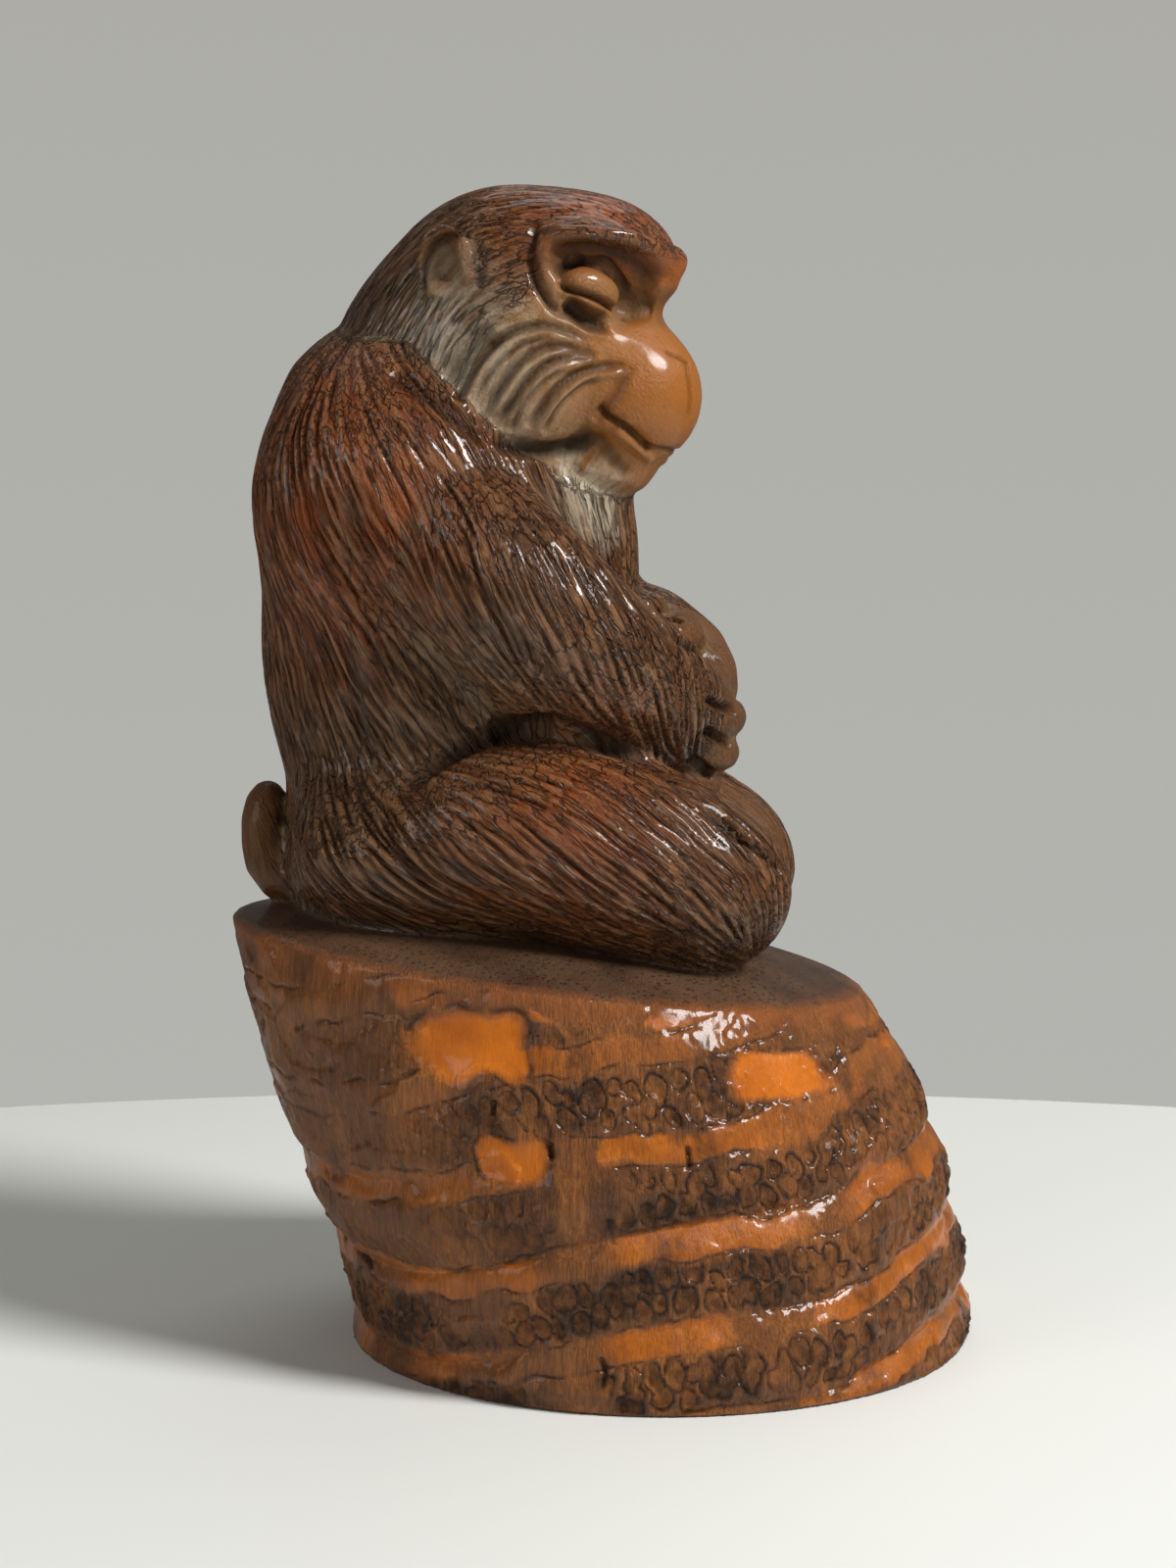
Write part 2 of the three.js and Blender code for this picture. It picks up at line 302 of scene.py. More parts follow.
bearing, ring, wall, rim = wall_frame(root_place)
off_wall = np.linalg.norm(wall - root_place, axis=1)
is_wall = is_root & (off_wall < 2.5) & (points[:, 2] > 0.4) & (points[:, 2] < rim - 0.4)
is_seat = is_root & ~is_wall & (points[:, 2] > rim - 4) & (seat_radius(root_place) < 0.97)
root_place[is_wall] = wall[is_wall]
root_place[is_seat, 2] = seat_top[is_seat]
points[is_root] = np.stack([root_place[:, 0] + SHIFT[0], SHIFT[1] - root_place[:, 1], root_place[:, 2]], -1)[is_root]

# %% Smooth the figure
fine = is_body & (((figure[:, 1] > 12.5) & (figure[:, 2] > 18) & (figure[:, 2] < 48) & (abs(figure[:, 0]) < 8))
                  | (figure[:, 1] < -32) & (figure[:, 2] < 24))
softness = np.where(is_body, 0.6, 0.0)
softness[is_head] = 0.14
softness[fine] = 0.1
softness[is_root & ~is_wall & (points[:, 2] > 1)] = 0.2
softness = settle(softness, 8)
softness[points[:, 2] < 0.5] = 0
FINER = 0.45 / CELL  # a finer mesh needs more passes for the same smoothing
passes = int(100 * FINER ** 2)
points = settle(points, passes, softness)
facing = outward(points)
figure, face = on_figure(points), on_head(points)
print("smoothed", passes, "times")

# %% [markdown]
# ## Cutting tools
# A groove is a row of places that lie on the wood. Every point near it sinks, the more the nearer it is, and is
# darkened: partly dirt that real grooves hold, partly painted shade. A ridge is a groove with a negative depth, and
# is made paler: partly rubbed wear, partly a painted highlight.

# %% Grooves and ridges
lift = np.zeros(count)
hollow = np.zeros(count)
rubbed_and_highlight = np.zeros(count)


def drawn(corners, step=0.3):
    """A smooth row of places through the corners."""
    corners = np.array(corners, dtype=float)
    padded = np.vstack([2 * corners[0] - corners[1], corners, 2 * corners[-1] - corners[-2]])
    row = []
    for a, b, c, d in zip(padded, padded[1:], padded[2:], padded[3:]):
        for t in np.linspace(0, 1, max(2, int(np.linalg.norm(c - b) / step)), endpoint=False):
            row.append(0.5 * (2 * b + (c - a) * t + (2 * a - 5 * b + 4 * c - d) * t * t
                              + (3 * b - a - 3 * c + d) * t ** 3))
    return np.array(row + [corners[-1]])


def nearby(row, reach):
    """The points within reach of a row, how far off they are, and how far along it they lie, 0 to 1."""
    near = np.flatnonzero(((points > row.min(0) - reach) & (points < row.max(0) + reach)).all(1))
    place = points[near]
    off = np.full(len(near), np.inf)
    along = np.zeros(len(near))
    for i, spot in enumerate(row):
        gap = ((place - spot) ** 2).sum(1)
        closer = gap < off
        off[closer] = gap[closer]
        along[closer] = i / max(len(row) - 1, 1)
    off = np.sqrt(off)
    keep = off < reach
    return near[keep], off[keep], along[keep]


def snapped(corners):
    """The surface point nearest to each corner."""
    found = []
    for corner in corners:
        found.append(points[((points - corner) ** 2).sum(1).argmin()])
    return np.array(found)


def cut(corners, wide, deep, tone=0.8, sharp=True, taper=0.12):
    """Sinks the points along a row of places, or raises them where the depth is negative."""
    row = drawn(snapped(corners))
    near, off, along = nearby(row, wide)
    ease = clip01(np.minimum(along, 1 - along) / taper) ** 0.6 if taper else 1
    part = (1 - off / wide) if sharp else (1 - (off / wide) ** 2) ** 2
    lift[near] -= deep * part * ease
    # A groove darkens with dirt and painted shade; a ridge turns paler with rubbed wear and a painted highlight.
    if deep > 0:
        hollow[near] = np.maximum(hollow[near], tone * part ** 0.6 * ease)
    else:
        rubbed_and_highlight[near] = np.maximum(rubbed_and_highlight[near], tone * part * ease)


def mirrored(corners, frame_of, back_of):
    flipped = frame_of(corners) * (-1, 1, 1)
    return back_of(flipped)


def from_figure(f):
    return HIP + UNIT * np.stack([f[..., 0], -f[..., 1], f[..., 2]], -1)


def cut_both(pixels, wide, deep, *more, part="head"):
    """Cuts along a row of the photograph's pixels, and for the head and the figure the same on the side that the
    photograph doesn't show.
    """
    corners = np.array([place for place in (seen(x, y) for x, y in pixels) if place is not None])
    if len(corners) < 2:
        print("a cut misses the wood:", pixels)
        return
    cut(corners, wide, deep, *more)
    if part == "head":
        cut(mirrored(corners, on_head, from_head), wide, deep, *more)
    elif part == "figure":
        cut(mirrored(corners, on_figure, from_figure), wide, deep, *more)


def cut_rows(rows, part="head"):
    """Cuts every row of pixels. Width, depth, tone (how dark a groove or how pale a ridge turns), sharpness and
    taper follow the pixels, as in a cut.
    """
    for row in rows.values():
        cut_both(*row, part=part)


def cut_head_rows(rows):
    """The same for rows that are given in the head's own directions."""
    for places, *more in rows.values():
        cut(from_head(np.array(places)), *more)


# %% [markdown]
# ## The face
# The eye is a domed upper lid with a dark slit below it, and a thin lower lid over a dark hollow; the dark of slit,
# hollow and socket is painted shade. The brow has a crisp rubbed edge, made paler with a painted highlight. Curved
# folds run from the back of the muzzle over the cheek down to the jaw.

# %% Eyes and brow
# Painted shade darkens the socket, the slit and the hollow below; a painted highlight makes the brow edge paler.
EYE_ROWS = {
    "socket": ([(572, 266), (584, 258), (605, 256), (632, 262), (655, 276), (670, 296)], 4.4, 1.9, 0.9, False),
    "upper_lid": ([(576, 290), (598, 284), (618, 291), (632, 304)], 4.2, -1.3, 0.7, False),
    "slit": ([(568, 289), (586, 297), (607, 303), (623, 312), (637, 321)], 1.0, 2.0, 1.0),
    "lower_lid": ([(575, 300), (595, 307), (613, 317), (629, 326)], 0.8, -0.6, 0.6),
    "hollow_below": ([(575, 308), (590, 319), (604, 327), (622, 331)], 3.2, 2.4, 1.0, False),
    "bag_below": ([(568, 311), (580, 324), (598, 338), (622, 341)], 1.4, -0.7, 0.7, False),
    "fold_above": ([(567, 282), (576, 273), (593, 267), (617, 272), (635, 290), (641, 310)], 1.4, 1.6, 1.0),
    "brow_edge": ([(557, 236), (580, 238), (606, 240), (630, 241), (653, 246), (674, 257), (686, 270)],
                  2.6, -1.5, 1.0, False),
    "temple_groove": ([(547, 224), (544, 245), (544, 270), (549, 290), (560, 308), (574, 322)], 1.3, 1.3),
    "temple_ridge": ([(557, 240), (555, 262), (560, 284), (571, 302)], 2.4, -0.8, 0.4, False),
    "inner_corner": ([(640, 320), (650, 300), (662, 306), (668, 322)], 1.4, 0.6, 0.6),
}
cut_rows(EYE_ROWS)
cut_head_rows({
    "bridge": ([(-7, 20, 7.2), (-3, 22, 7), (0, 22.5, 7), (3, 22, 7), (7, 20, 7.2)], 5.0, 1.8, 0.4, False)})

# %% Cheek folds, mouth, nose and chin
# The folds and creases here are darkened with painted shade as well as dirt, and the lower lip is made paler with a
# painted highlight.
FOLDS = [
    [(465, 412), (469, 404), (490, 366), (519, 341), (560, 334), (602, 350)],
    [(489, 434), (506, 402), (527, 373), (560, 354), (607, 360)],
    [(503, 437), (521, 414), (538, 387), (570, 366), (612, 366)],
    [(538, 437), (560, 407), (577, 391), (600, 377), (638, 374)],
]
FOLD_RIDGE_RIGHT, FOLD_RIDGE_DOWN = 6, 5  # a ridge runs beside each fold, this many pixels off
FINE_FOLDS = [
    [(478, 424), (496, 386), (524, 356), (562, 343)],
    [(520, 440), (534, 414), (552, 392), (576, 376)],
    [(552, 440), (570, 414), (590, 396), (612, 386)],
]
for fold in FOLDS:
    cut_both(fold, 1.4, 1.5)
    cut_both([(x + FOLD_RIDGE_RIGHT, y + FOLD_RIDGE_DOWN) for x, y in fold], 1.9, -0.8, 0.8, False)
for fold in FINE_FOLDS:
    cut_both(fold, 0.9, 0.8, 0.7)
cut_rows({
    "back_of_muzzle": ([(643, 372), (634, 388), (627, 402), (616, 418), (606, 430)], 1.8, 0.8, 0.4, False),
    "cheek_hollow": ([(457, 394), (470, 374), (488, 352), (508, 339)], 4.0, 1.4, 0.5, False),
    "mouth": ([(610, 414), (620, 424), (641, 439), (664, 459), (683, 468)], 1.1, 1.3, 1.0, True, 0.05),
    "lower_lip": ([(628, 440), (648, 457), (668, 470)], 1.7, -0.6, 0.7, False),
    "nostril": ([(678, 358), (692, 364), (704, 372)], 0.8, 0.45, 0.6),
    "nape_crease": ([(400, 377), (423, 393), (450, 413), (476, 434), (501, 450)], 2.6, 1.6, 0.9),
    "throat_crease": ([(501, 450), (530, 457), (560, 459), (590, 452), (607, 440)], 2.4, 1.8, 1.0),
    "under_chin": ([(606, 440), (622, 462), (640, 486)], 1.8, 0.7, 0.6),
})
cut_head_rows({
    "front_of_mouth": ([(-6, 24.0, -11.3), (-3, 26.4, -12), (0, 27, -12.3), (3, 26.4, -12), (6, 24.0, -11.3)],
                       0.9, 0.6, 0.8, True, 0),
    "right_of_nose": ([(-2.4, 28.6, 0.6), (-2.9, 29, -2.5), (-2.3, 28.4, -7)], 1.1, 0.4, 0.5),
    "left_of_nose": ([(2.4, 28.6, 0.6), (2.9, 29, -2.5), (2.3, 28.4, -7)], 1.1, 0.4, 0.5),
})

# %% [markdown]
# ## Ears
# An ear is a shallow dish with a groove round its back and a raised, rubbed strip in front.

# %% Ears
cut_rows({
    "groove_behind": ([(478, 240), (466, 238), (447, 247), (433, 266), (429, 288), (432, 306)], 1.3, 1.2, 0.9),
    "strip_in_front": ([(474, 241), (471, 257), (475, 273), (480, 290)], 1.9, -0.8, 1.0, False),
    "edge_of_strip": ([(486, 244), (489, 266), (487, 296)], 1.3, 0.7, 0.6),
    "dish": ([(462, 252), (450, 268), (447, 288)], 3.6, 0.7, 0.2, False),
})

# %% [markdown]
# ## Arms, legs, hands and feet
# Deep creases part the arm from the flank and the thigh from the belly. The knuckles and toes are parted by
# short cuts that run in from the notches of the outline.

# %% Limbs
cut_rows({
    "back_of_arm": ([(347, 500), (378, 613), (426, 672), (485, 724)], 7.0, 1.3, 0.2, False),
    "thigh": ([(398, 818), (430, 792), (485, 760), (532, 742), (568, 738), (616, 760), (667, 780), (714, 820)],
              2.8, 2.0, 0.9),
    "under_arm": ([(500, 748), (533, 738), (560, 738)], 4.0, 1.6, 0.8, False),
    "shin": ([(714, 819), (750, 850), (782, 870), (801, 890)], 1.8, 1.4, 0.9),
    "tail": ([(291, 812), (290, 835), (294, 858), (280, 888)], 1.6, 1.0, 0.7),
}, "figure")
KNUCKLES = [
    [(732, 673), (716, 663), (700, 655), (686, 648)], [(752, 726), (738, 719), (722, 713)],
    [(747, 760), (733, 753), (718, 747)], [(728, 792), (715, 783), (703, 776)], [(697, 634), (684, 629), (672, 622)]]
TOES = [[(742, 834), (751, 846)], [(757, 846), (764, 858)], [(772, 858), (777, 868)], [(786, 870), (790, 880)]]
for knuckle in KNUCKLES:
    cut_both(knuckle, 1.5, 2.2, 1.0, True, 0.2, part="seen")
for toe in TOES:
    cut_both(toe, 1.3, 1.5, 1.0, True, 0.2, part="seen")
print("deepest cut", round(-lift.min(), 2), "mm, highest ridge", round(lift.max(), 2), "mm")

# %% [markdown]
# ## Combing the fur
# The carver cuts the fur with a small V gouge, one long stroke beside another. Here strokes are laid the same
# way. A few combs say which way the fur runs at places of the body and head, in degrees below the horizontal
# as seen from the side. A stroke starts anywhere, follows the lie of the fur both ways, and stops where it
# would run into another.

# %% Chance and roughness that come out the same each time
def chance(*whole):
    total = np.zeros(np.broadcast(*whole).shape)
    for part, factor in zip(whole, (127.1, 311.7, 74.7, 191.3)):
        total = total + part * factor
    return np.modf(abs(np.sin(total) * 43758.5453))[0]


def rough_at(place, size, salt=0):
    """Smooth bumps of about one size, from 0 to 1."""
    grid = place / size
    cell = np.floor(grid)
    part = grid - cell
    part = part * part * (3 - 2 * part)
    total = 0
    for dx in (0, 1):
        for dy in (0, 1):
            for dz in (0, 1):
                weight = (abs(1 - dx - part[:, 0]) * abs(1 - dy - part[:, 1]) * abs(1 - dz - part[:, 2]))
                total = total + weight * chance(cell[:, 0] + dx, cell[:, 1] + dy, cell[:, 2] + dz, salt)
    return total


def patches(place, size, salt, level, steep):
    """1 where the bumps stand above a level and 0 elsewhere, or the other way where steep is negative."""
    return clip01((rough_at(place, size, salt) - level) * steep)


# %% Combs
BODY_COMBS = [
    (-37, 69, 105), (-37, 55, 88), (-37, 35, 80), (-36, 15, 68), (-29, 73, 98), (-29, 62, 74), (-29, 45, 70),
    (-29, 25, 70), (-29, 12, 62), (-21, 74, 74), (-21, 62, 63), (-21, 45, 59), (-21, 25, 57), (-21, 13, 52),
    (-13.6, 69, 53), (-13.6, 55, 60), (-13.6, 42, 56), (-13.6, 33, 51), (-12, 22, 40), (-12, 13, 44),
    (-6, 61, 64), (-6, 50, 66), (-6, 36, 57), (-4, 24, 29), (-4, 14, 36), (3, 56, 61), (3, 45, 64),
    (3, 37, 65), (3, 25, 28), (3, 14, 38), (9.5, 54, 80), (9.5, 45, 61), (9.5, 35, 66), (9.5, 22, 29),
    (9.5, 12, 38), (17, 42, 50), (17, 35, 64), (17, 29, 72), (17, 20, 34), (17, 11, 42), (26, 16, 48),
    (26, 8, 52), (33, 8, 80), (-29, 4, 8), (-21, 4, 12), (-12, 4, 20), (0, 4, 27), (10, 4, 30), (20, 3, 40),
    (28, 2, 65)]
HEAD_COMBS = [
    (8, 21, 170), (15, 21, 185), (23, 19, 200), (27, 15, 215), (30, 10, 250), (0, 18, 145), (-3, 14, 134),
    (-7, 9, 123), (-11, 4, 118), (-3, 5.5, 115), (0, 4, 128), (4, 3, 145), (8, 7, 165), (10, 11.6, 174),
    (5, 12, 160), (-15, -2, 118), (-11, -3, 105), (-6, -1, 106), (-1, -1, 108), (3, -3, 118), (12, 16, 178)]


def combed(place, combs, spread):
    """The lie of the fur at each place: the combs' directions, the nearer ones counting more."""
    sin, cos = np.zeros(len(place)), np.zeros(len(place))
    for front, up, angle in combs:
        weight = np.exp(-((place[:, 1] - front) ** 2 + (place[:, 2] - up) ** 2) / (2 * spread ** 2)) + 1e-9
        sin += weight * math.sin(math.radians(angle))
        cos += weight * math.cos(math.radians(angle))
    size = np.hypot(sin, cos) + 1e-12
    return np.stack([np.zeros(len(place)), -cos / size, -sin / size], -1)


lay = np.where(is_head[:, None], combed(face, HEAD_COMBS, 3.5), combed(figure, BODY_COMBS, 4.0))
stray = np.where(is_head, 0.9, 0.4) * (rough_at(points, 5.0, 31) - 0.5)
lay += np.cross(lay, facing) * stray[:, None]
lay -= facing * (facing * lay).sum(1, keepdims=True)
lay /= np.maximum(np.linalg.norm(lay, axis=1, keepdims=True), 1e-6)


# %% Coordinates across and along the fur
def potential(slope_front, slope_up):
    """A surface over a grid whose slopes come as near as they can to the wanted ones."""
    def slopes(p):
        return p[1:] - p[:-1], p[:, 1:] - p[:, :-1]

    def gathered(a, b):
        total = np.zeros(slope_front.shape)
        total[1:] += a
        total[:-1] -= a
        total[:, 1:] += b
        total[:, :-1] -= b
        return total

    surface = np.zeros(slope_front.shape)
    rest = gathered((slope_front[1:] + slope_front[:-1]) / 2, (slope_up[:, 1:] + slope_up[:, :-1]) / 2)
    way = rest.copy()
    for _ in range(300):
        bent = gathered(*slopes(way))
        step = (rest ** 2).sum() / max((way * bent).sum(), 1e-12)
        surface += step * way
        left = rest - step * bent
        way = left + (left ** 2).sum() / max((rest ** 2).sum(), 1e-12) * way
        rest = left
    return surface


def hair_map(place, combs, spread, low, high):
    """How far each place lies across the fur, to the side, and along the fur, in metres."""
    fronts, ups = np.arange(low[0], high[0]), np.arange(low[1], high[1])
    grid = np.stack(np.meshgrid([0.0], fronts, ups, indexing="ij"), -1).reshape(-1, 3)
    way = combed(grid, combs, spread)
    cos, sin = -way[:, 1].reshape(len(fronts), -1), -way[:, 2].reshape(len(fronts), -1)
    f = np.clip(place[:, 1] - low[0], 0, len(fronts) - 1.001)
    u = np.clip(place[:, 2] - low[1], 0, len(ups) - 1.001)
    i, j = f.astype(int), u.astype(int)
    f, u = f - i, u - j
    across, along = [(g[i, j] * (1 - f) + g[i + 1, j] * f) * (1 - u)
                     + (g[i, j + 1] * (1 - f) + g[i + 1, j + 1] * f) * u
                     for g in (potential(sin, cos), potential(cos, -sin))]
    return np.stack([across, place[:, 0], along], -1) * UNIT * MM


hair = np.where(is_head[:, None], hair_map(face, HEAD_COMBS, 3.5, (-32, -30), (38, 32)),
                hair_map(figure, BODY_COMBS, 4.0, (-50, -10), (46, 94)))
print("fur runs over", (np.ptp(hair, axis=0) / MM).round(0), "mm")


# %% Where there is fur, and how coarse
def inside(place, outline):
    """Whether the front and up of each place lie inside an outline."""
    within = np.zeros(len(place), dtype=bool)
    for (f0, u0), (f1, u1) in zip(outline, outline[1:] + outline[:1]):
        crosses = (place[:, 2] > u0) != (place[:, 2] > u1)
        with np.errstate(divide="ignore", invalid="ignore"):
            level = f0 + (f1 - f0) * (place[:, 2] - u0) / (u1 - u0)
        within ^= crosses & (place[:, 1] < level)
    return within


BARE_FACE = [(12.2, 15.5), (12.4, 8.1), (9.1, 5.5), (7.2, 3.7), (2.9, -4.2), (5.6, -10), (14.1, -14),
             (22, -20), (34, -20), (34, 9), (28, 11), (26, 13), (19, 14.4)]
BARE_EAR = [(-2.6, 8), (-2.6, 14.5), (1.5, 16), (4.4, 15.5), (4.4, 9), (1, 7.5)]
smooth_face = is_head & inside(face, BARE_FACE)
smooth_ear = is_head & inside(face, BARE_EAR) & (abs(face[:, 0]) > 14)
hands = is_body & (figure[:, 1] > 15.5) & (abs(figure[:, 0]) < 8) & (figure[:, 2] > 19) & (figure[:, 2] < 48)
tail = is_body & (figure[:, 1] < -34.5) & (figure[:, 2] < 24) & (abs(figure[:, 0]) < 6)
toes = is_body & (figure[:, 1] > 14) & (figure[:, 2] > 11) & (figure[:, 2] < 21) & (abs(figure[:, 0]) < 11)
bare = settle((smooth_face | smooth_ear | hands | tail | toes).astype(float), int(6 * FINER))
skin = settle(np.maximum(smooth_face | smooth_ear, 0.7 * (hands | tail | toes)), int(10 * FINER))
fur = np.where(is_root, 0.0, 1 - bare)
tan = skin * np.where(is_head, 1 - 0.7 * clip01((face[:, 2] - 8.5) / 2.5), 0.45)
FUR_GAP, HEAD_GAP = 1.3, 1.1
gap = settle(np.where(is_head, HEAD_GAP, FUR_GAP), int(20 * FINER))
print("furred points", int((fur > 0.5).sum()))


# %% Lay the strokes
def tree_of(places):
    tree = kdtree.KDTree(len(places))
    for i, place in enumerate(places):
        tree.insert(place, i)
    tree.balance()
    return tree


STROKE_STEP, STROKE_TRIES, FEWEST_STEPS = 0.8, 42000, 4
BODY_LENGTHS, HEAD_LENGTHS, MIDDLE_GAP = (8, 34), (4, 11), 1.2
FARTHEST_OFF, LEAST_ALONG, CLOSEST = 1.5, 0.5, 0.6  # where a stroke ends


def lay_strokes():
    """Rows of places, each a stroke of the gouge."""
    draw = random.Random(SEED)
    index = np.flatnonzero(fur > 0.25)
    place = [Vector(p) for p in points[index]]
    normal = [Vector(n) for n in facing[index]]
    way = [Vector(w) for w in lay[index]]
    room = gap[index]
    tree = tree_of(place)
    cells = {}
    size = FUR_GAP

    def taken(spot, reach):
        a, b, c = int(spot.x // size), int(spot.y // size), int(spot.z // size)
        for x in (a - 1, a, a + 1):
            for y in (b - 1, b, b + 1):
                for z in (c - 1, c, c + 1):
                    for other in cells.get((x, y, z), ()):
                        if (other - spot).length_squared < reach * reach:
                            return True
        return False

    strokes = []
    tries = list(range(len(place)))
    draw.shuffle(tries)
    for seed in tries[:STROKE_TRIES]:
        if taken(place[seed], room[seed]):
            continue
        longest = draw.uniform(*(BODY_LENGTHS if gap[index[seed]] > MIDDLE_GAP else HEAD_LENGTHS))
        halves = []
        for sign in (1, -1):
            spot, heading, length, half = place[seed], way[seed] * sign, 0.0, []
            while length < longest / 2:
                aim = spot + heading * STROKE_STEP
                _, i, gone = tree.find(aim)
                if gone > FARTHEST_OFF:
                    break
                aim -= normal[i] * normal[i].dot(aim - place[i])
                turned = way[i] if way[i].dot(heading) > 0 else -way[i]
                if turned.dot(heading) < LEAST_ALONG or taken(aim, room[i] * CLOSEST):
                    break
                half.append(aim)
                spot, heading, length = aim, turned, length + STROKE_STEP
            halves.append(half)
        stroke = halves[1][::-1] + [place[seed]] + halves[0]
        if len(stroke) < FEWEST_STEPS:
            continue
        strokes.append(stroke)
        for spot in stroke:
            cells.setdefault((int(spot.x // size), int(spot.y // size), int(spot.z // size)), []).append(spot)
    return strokes


strokes = lay_strokes()
print(len(strokes), "strokes of the gouge, together",
      round(sum(len(s) for s in strokes) * STROKE_STEP / 1000, 1), "m")

# %% Cut the strokes
draw = random.Random(SEED + 1)
spots, depths = [], []
for stroke in strokes:
    force = draw.uniform(0.5, 1.15)
    for i, spot in enumerate(stroke):
        ease = min(1.0, (min(i, len(stroke) - 1 - i) + 0.4) / 6) ** 0.8
        spots.append(spot)
        depths.append(force * ease)
        if i + 1 < len(stroke):
            spots.append((spot + stroke[i + 1]) / 2)
            depths.append(force * ease)
spot_tree = tree_of(spots)
depths = np.array(depths)
furred = np.flatnonzero(fur > 0.02)
off = np.full(count, 9.0)
force = np.zeros(count)
for v in furred:
    _, i, gone = spot_tree.find(points[v])
    off[v] = gone
    force[v] = depths[i]
STROKE_DEPTH = 0.72
share = clip01(1 - off / (0.6 * gap))
groove = share * force * fur
coarse = np.where(is_head, 0.85, 1.0)
crown = is_head & (face[:, 1] > 9) & (face[:, 2] > 13)
coarse = settle(np.where(crown, 0.6, coarse), int(12 * FINER))
lift -= STROKE_DEPTH * groove * coarse
# The bottoms of the strokes darken: painted shade in the grooves, with some dirt.
hollow = np.maximum(hollow, 0.95 * groove ** 1.4 * coarse ** 0.5)
# The crests between strokes turn paler: rubbed wear and a painted highlight.
ridge = clip01(1 - share * 2.6) * fur
print("stroke depth up to", round(STROKE_DEPTH * groove.max(), 2), "mm")


# %% [markdown]
# ## The root's scars and bands
# Each ring of the root carries a row of small oval scars where rootlets were cut off. Between the rows the
# wood is smooth and orange. A scar is a dished oval with a dark edge, and no two are quite the same. The rest
# of the wall is cut with a knife, in slices that lean this way and that.

# %% Scars
root_place = np.stack([points[:, 0] - SHIFT[0], -(points[:, 1] - SHIFT[1]), points[:, 2]], -1)
bearing, ring, wall, rim = wall_frame(root_place)
ROOT_RADIUS = 58
SCAR_WIDE, SCAR_TALL, SCAR_STEP = 1.7, 3.3, 3.8
ring = ring + 0.22 * (rough_at(root_place, 24.0, 5) - 0.5)
row = np.floor(ring + 0.1)
across = bearing * ROOT_RADIUS / SCAR_STEP
up_row = (ring - row - 0.4) * RING_SPACING
nearest = np.full(count, 9.0)
which = np.zeros(count)
warp_x, warp_y = [1.7 * (rough_at(root_place, 2.6, salt) - 0.5) for salt in (41, 42)]
for k in (-1, 0, 1):
    cell = np.floor(across) + k
    for tier in (-1, 1):
        shift = chance(cell, row, tier) - 0.5
        x = (across - cell - 0.5 - 0.5 * shift - 0.25 * tier) * SCAR_STEP + warp_x
        y = up_row - 2.3 * tier - 2.4 * (chance(cell, row, tier + 7) - 0.5) + warp_y
        tilt = 0.5 * (chance(cell, row, tier + 3) - 0.5)
        size = 0.7 + 0.45 * chance(cell, row, tier + 5)
        d = np.hypot((x + tilt * y) / (SCAR_WIDE * size), (y - tilt * x) / (0.8 * SCAR_TALL * size))
        closer = d < nearest
        nearest[closer] = d[closer]
        which[closer] = chance(cell, row, tier + 9)[closer]

up_row += 3.0 * (rough_at(root_place, 7.0, 71) - 0.5) + 0.7 * warp_y
behind = clip01((-np.cos(bearing - math.radians(20)) - 0.35) * 2.2)
rowed = clip01((1 - abs(up_row) / 6.2) * 3) * patches(root_place, 20.0, 2, 0.78, -5)
rowed *= 1 - 0.75 * behind * clip01((points[:, 2] - 16) / 10)
rowed *= clip01((rim - points[:, 2] - 5) / 4) * is_wall
inside_scar = clip01(1 - nearest)
edge = clip01(1 - abs(nearest - 1.02) / 0.2)
crumb = rough_at(root_place * (1, 1, 0.6), 1.1, 8) - 0.5
scar = settle(rowed * (nearest < 1.0), 1)
lift -= rowed * (0.9 * inside_scar ** 0.5 * (0.3 + which) + 0.7 * edge - 0.9 * crumb)
tone = edge * (0.7 + 0.6 * which) + 0.8 * crumb + 0.5 * (which - 0.5) * inside_scar
hollow = np.maximum(hollow, rowed * clip01(tone))
between = clip01((abs(up_row) - 5.2) / 1.2)
band = is_wall * between * patches(root_place, 17.0, 3, 0.66, -6)
ragged = clip01(1 - abs(between - 0.35) / 0.35) * is_wall * patches(root_place, 3.0, 72, 0.35, 4)
lift -= 0.5 * ragged
hollow = np.maximum(hollow, 0.8 * ragged)
band *= 1 - 0.8 * behind * clip01((points[:, 2] - 32) / 12)
band *= clip01((rim - points[:, 2] - 3) / 4)
print("scarred share of the wall", round(float(rowed[is_wall].mean()), 2))

crust = rowed * patches(root_place, 9.0, 81, 0.42, 4)
crust = np.maximum(crust, 0.7 * is_wall * patches(root_place * (1, 1, 0.6), 6.0, 82, 0.62, 6))

# %% Slices of the knife
SLICE_WIDE, SLICE_TALL = 13.0, 8.0
over = bearing * ROOT_RADIUS / SLICE_WIDE + 0.35 * warp_x / 2.6
high = ring * RING_SPACING / SLICE_TALL + 0.2 * warp_y / 2.6
slice_gap = np.full(count, 9.0)
slant, hue = np.zeros(count), np.zeros(count)
for i in (-1, 0, 1):
    for j in (-1, 0, 1):
        cell, tier = np.floor(over) + i, np.floor(high) + j
        dx, dy = over - cell - chance(cell, tier, 51), high - tier - chance(cell, tier, 52)
        closer = np.hypot(dx, dy) < slice_gap
        slice_gap[closer] = np.hypot(dx, dy)[closer]
        slant[closer] = ((chance(cell, tier, 53) - 0.5) * dx + (chance(cell, tier, 54) - 0.3) * dy)[closer]
        hue[closer] = chance(cell, tier, 55)[closer]
unscarred = is_wall * (1 - rowed) * clip01((rim - points[:, 2]) / 3)
lift += settle(1.3 * np.clip(slant, -0.6, 0.6) * unscarred, 3)
upper = clip01((points[:, 2] - 38) / 8)
sliced = settle(unscarred * hue, 1)
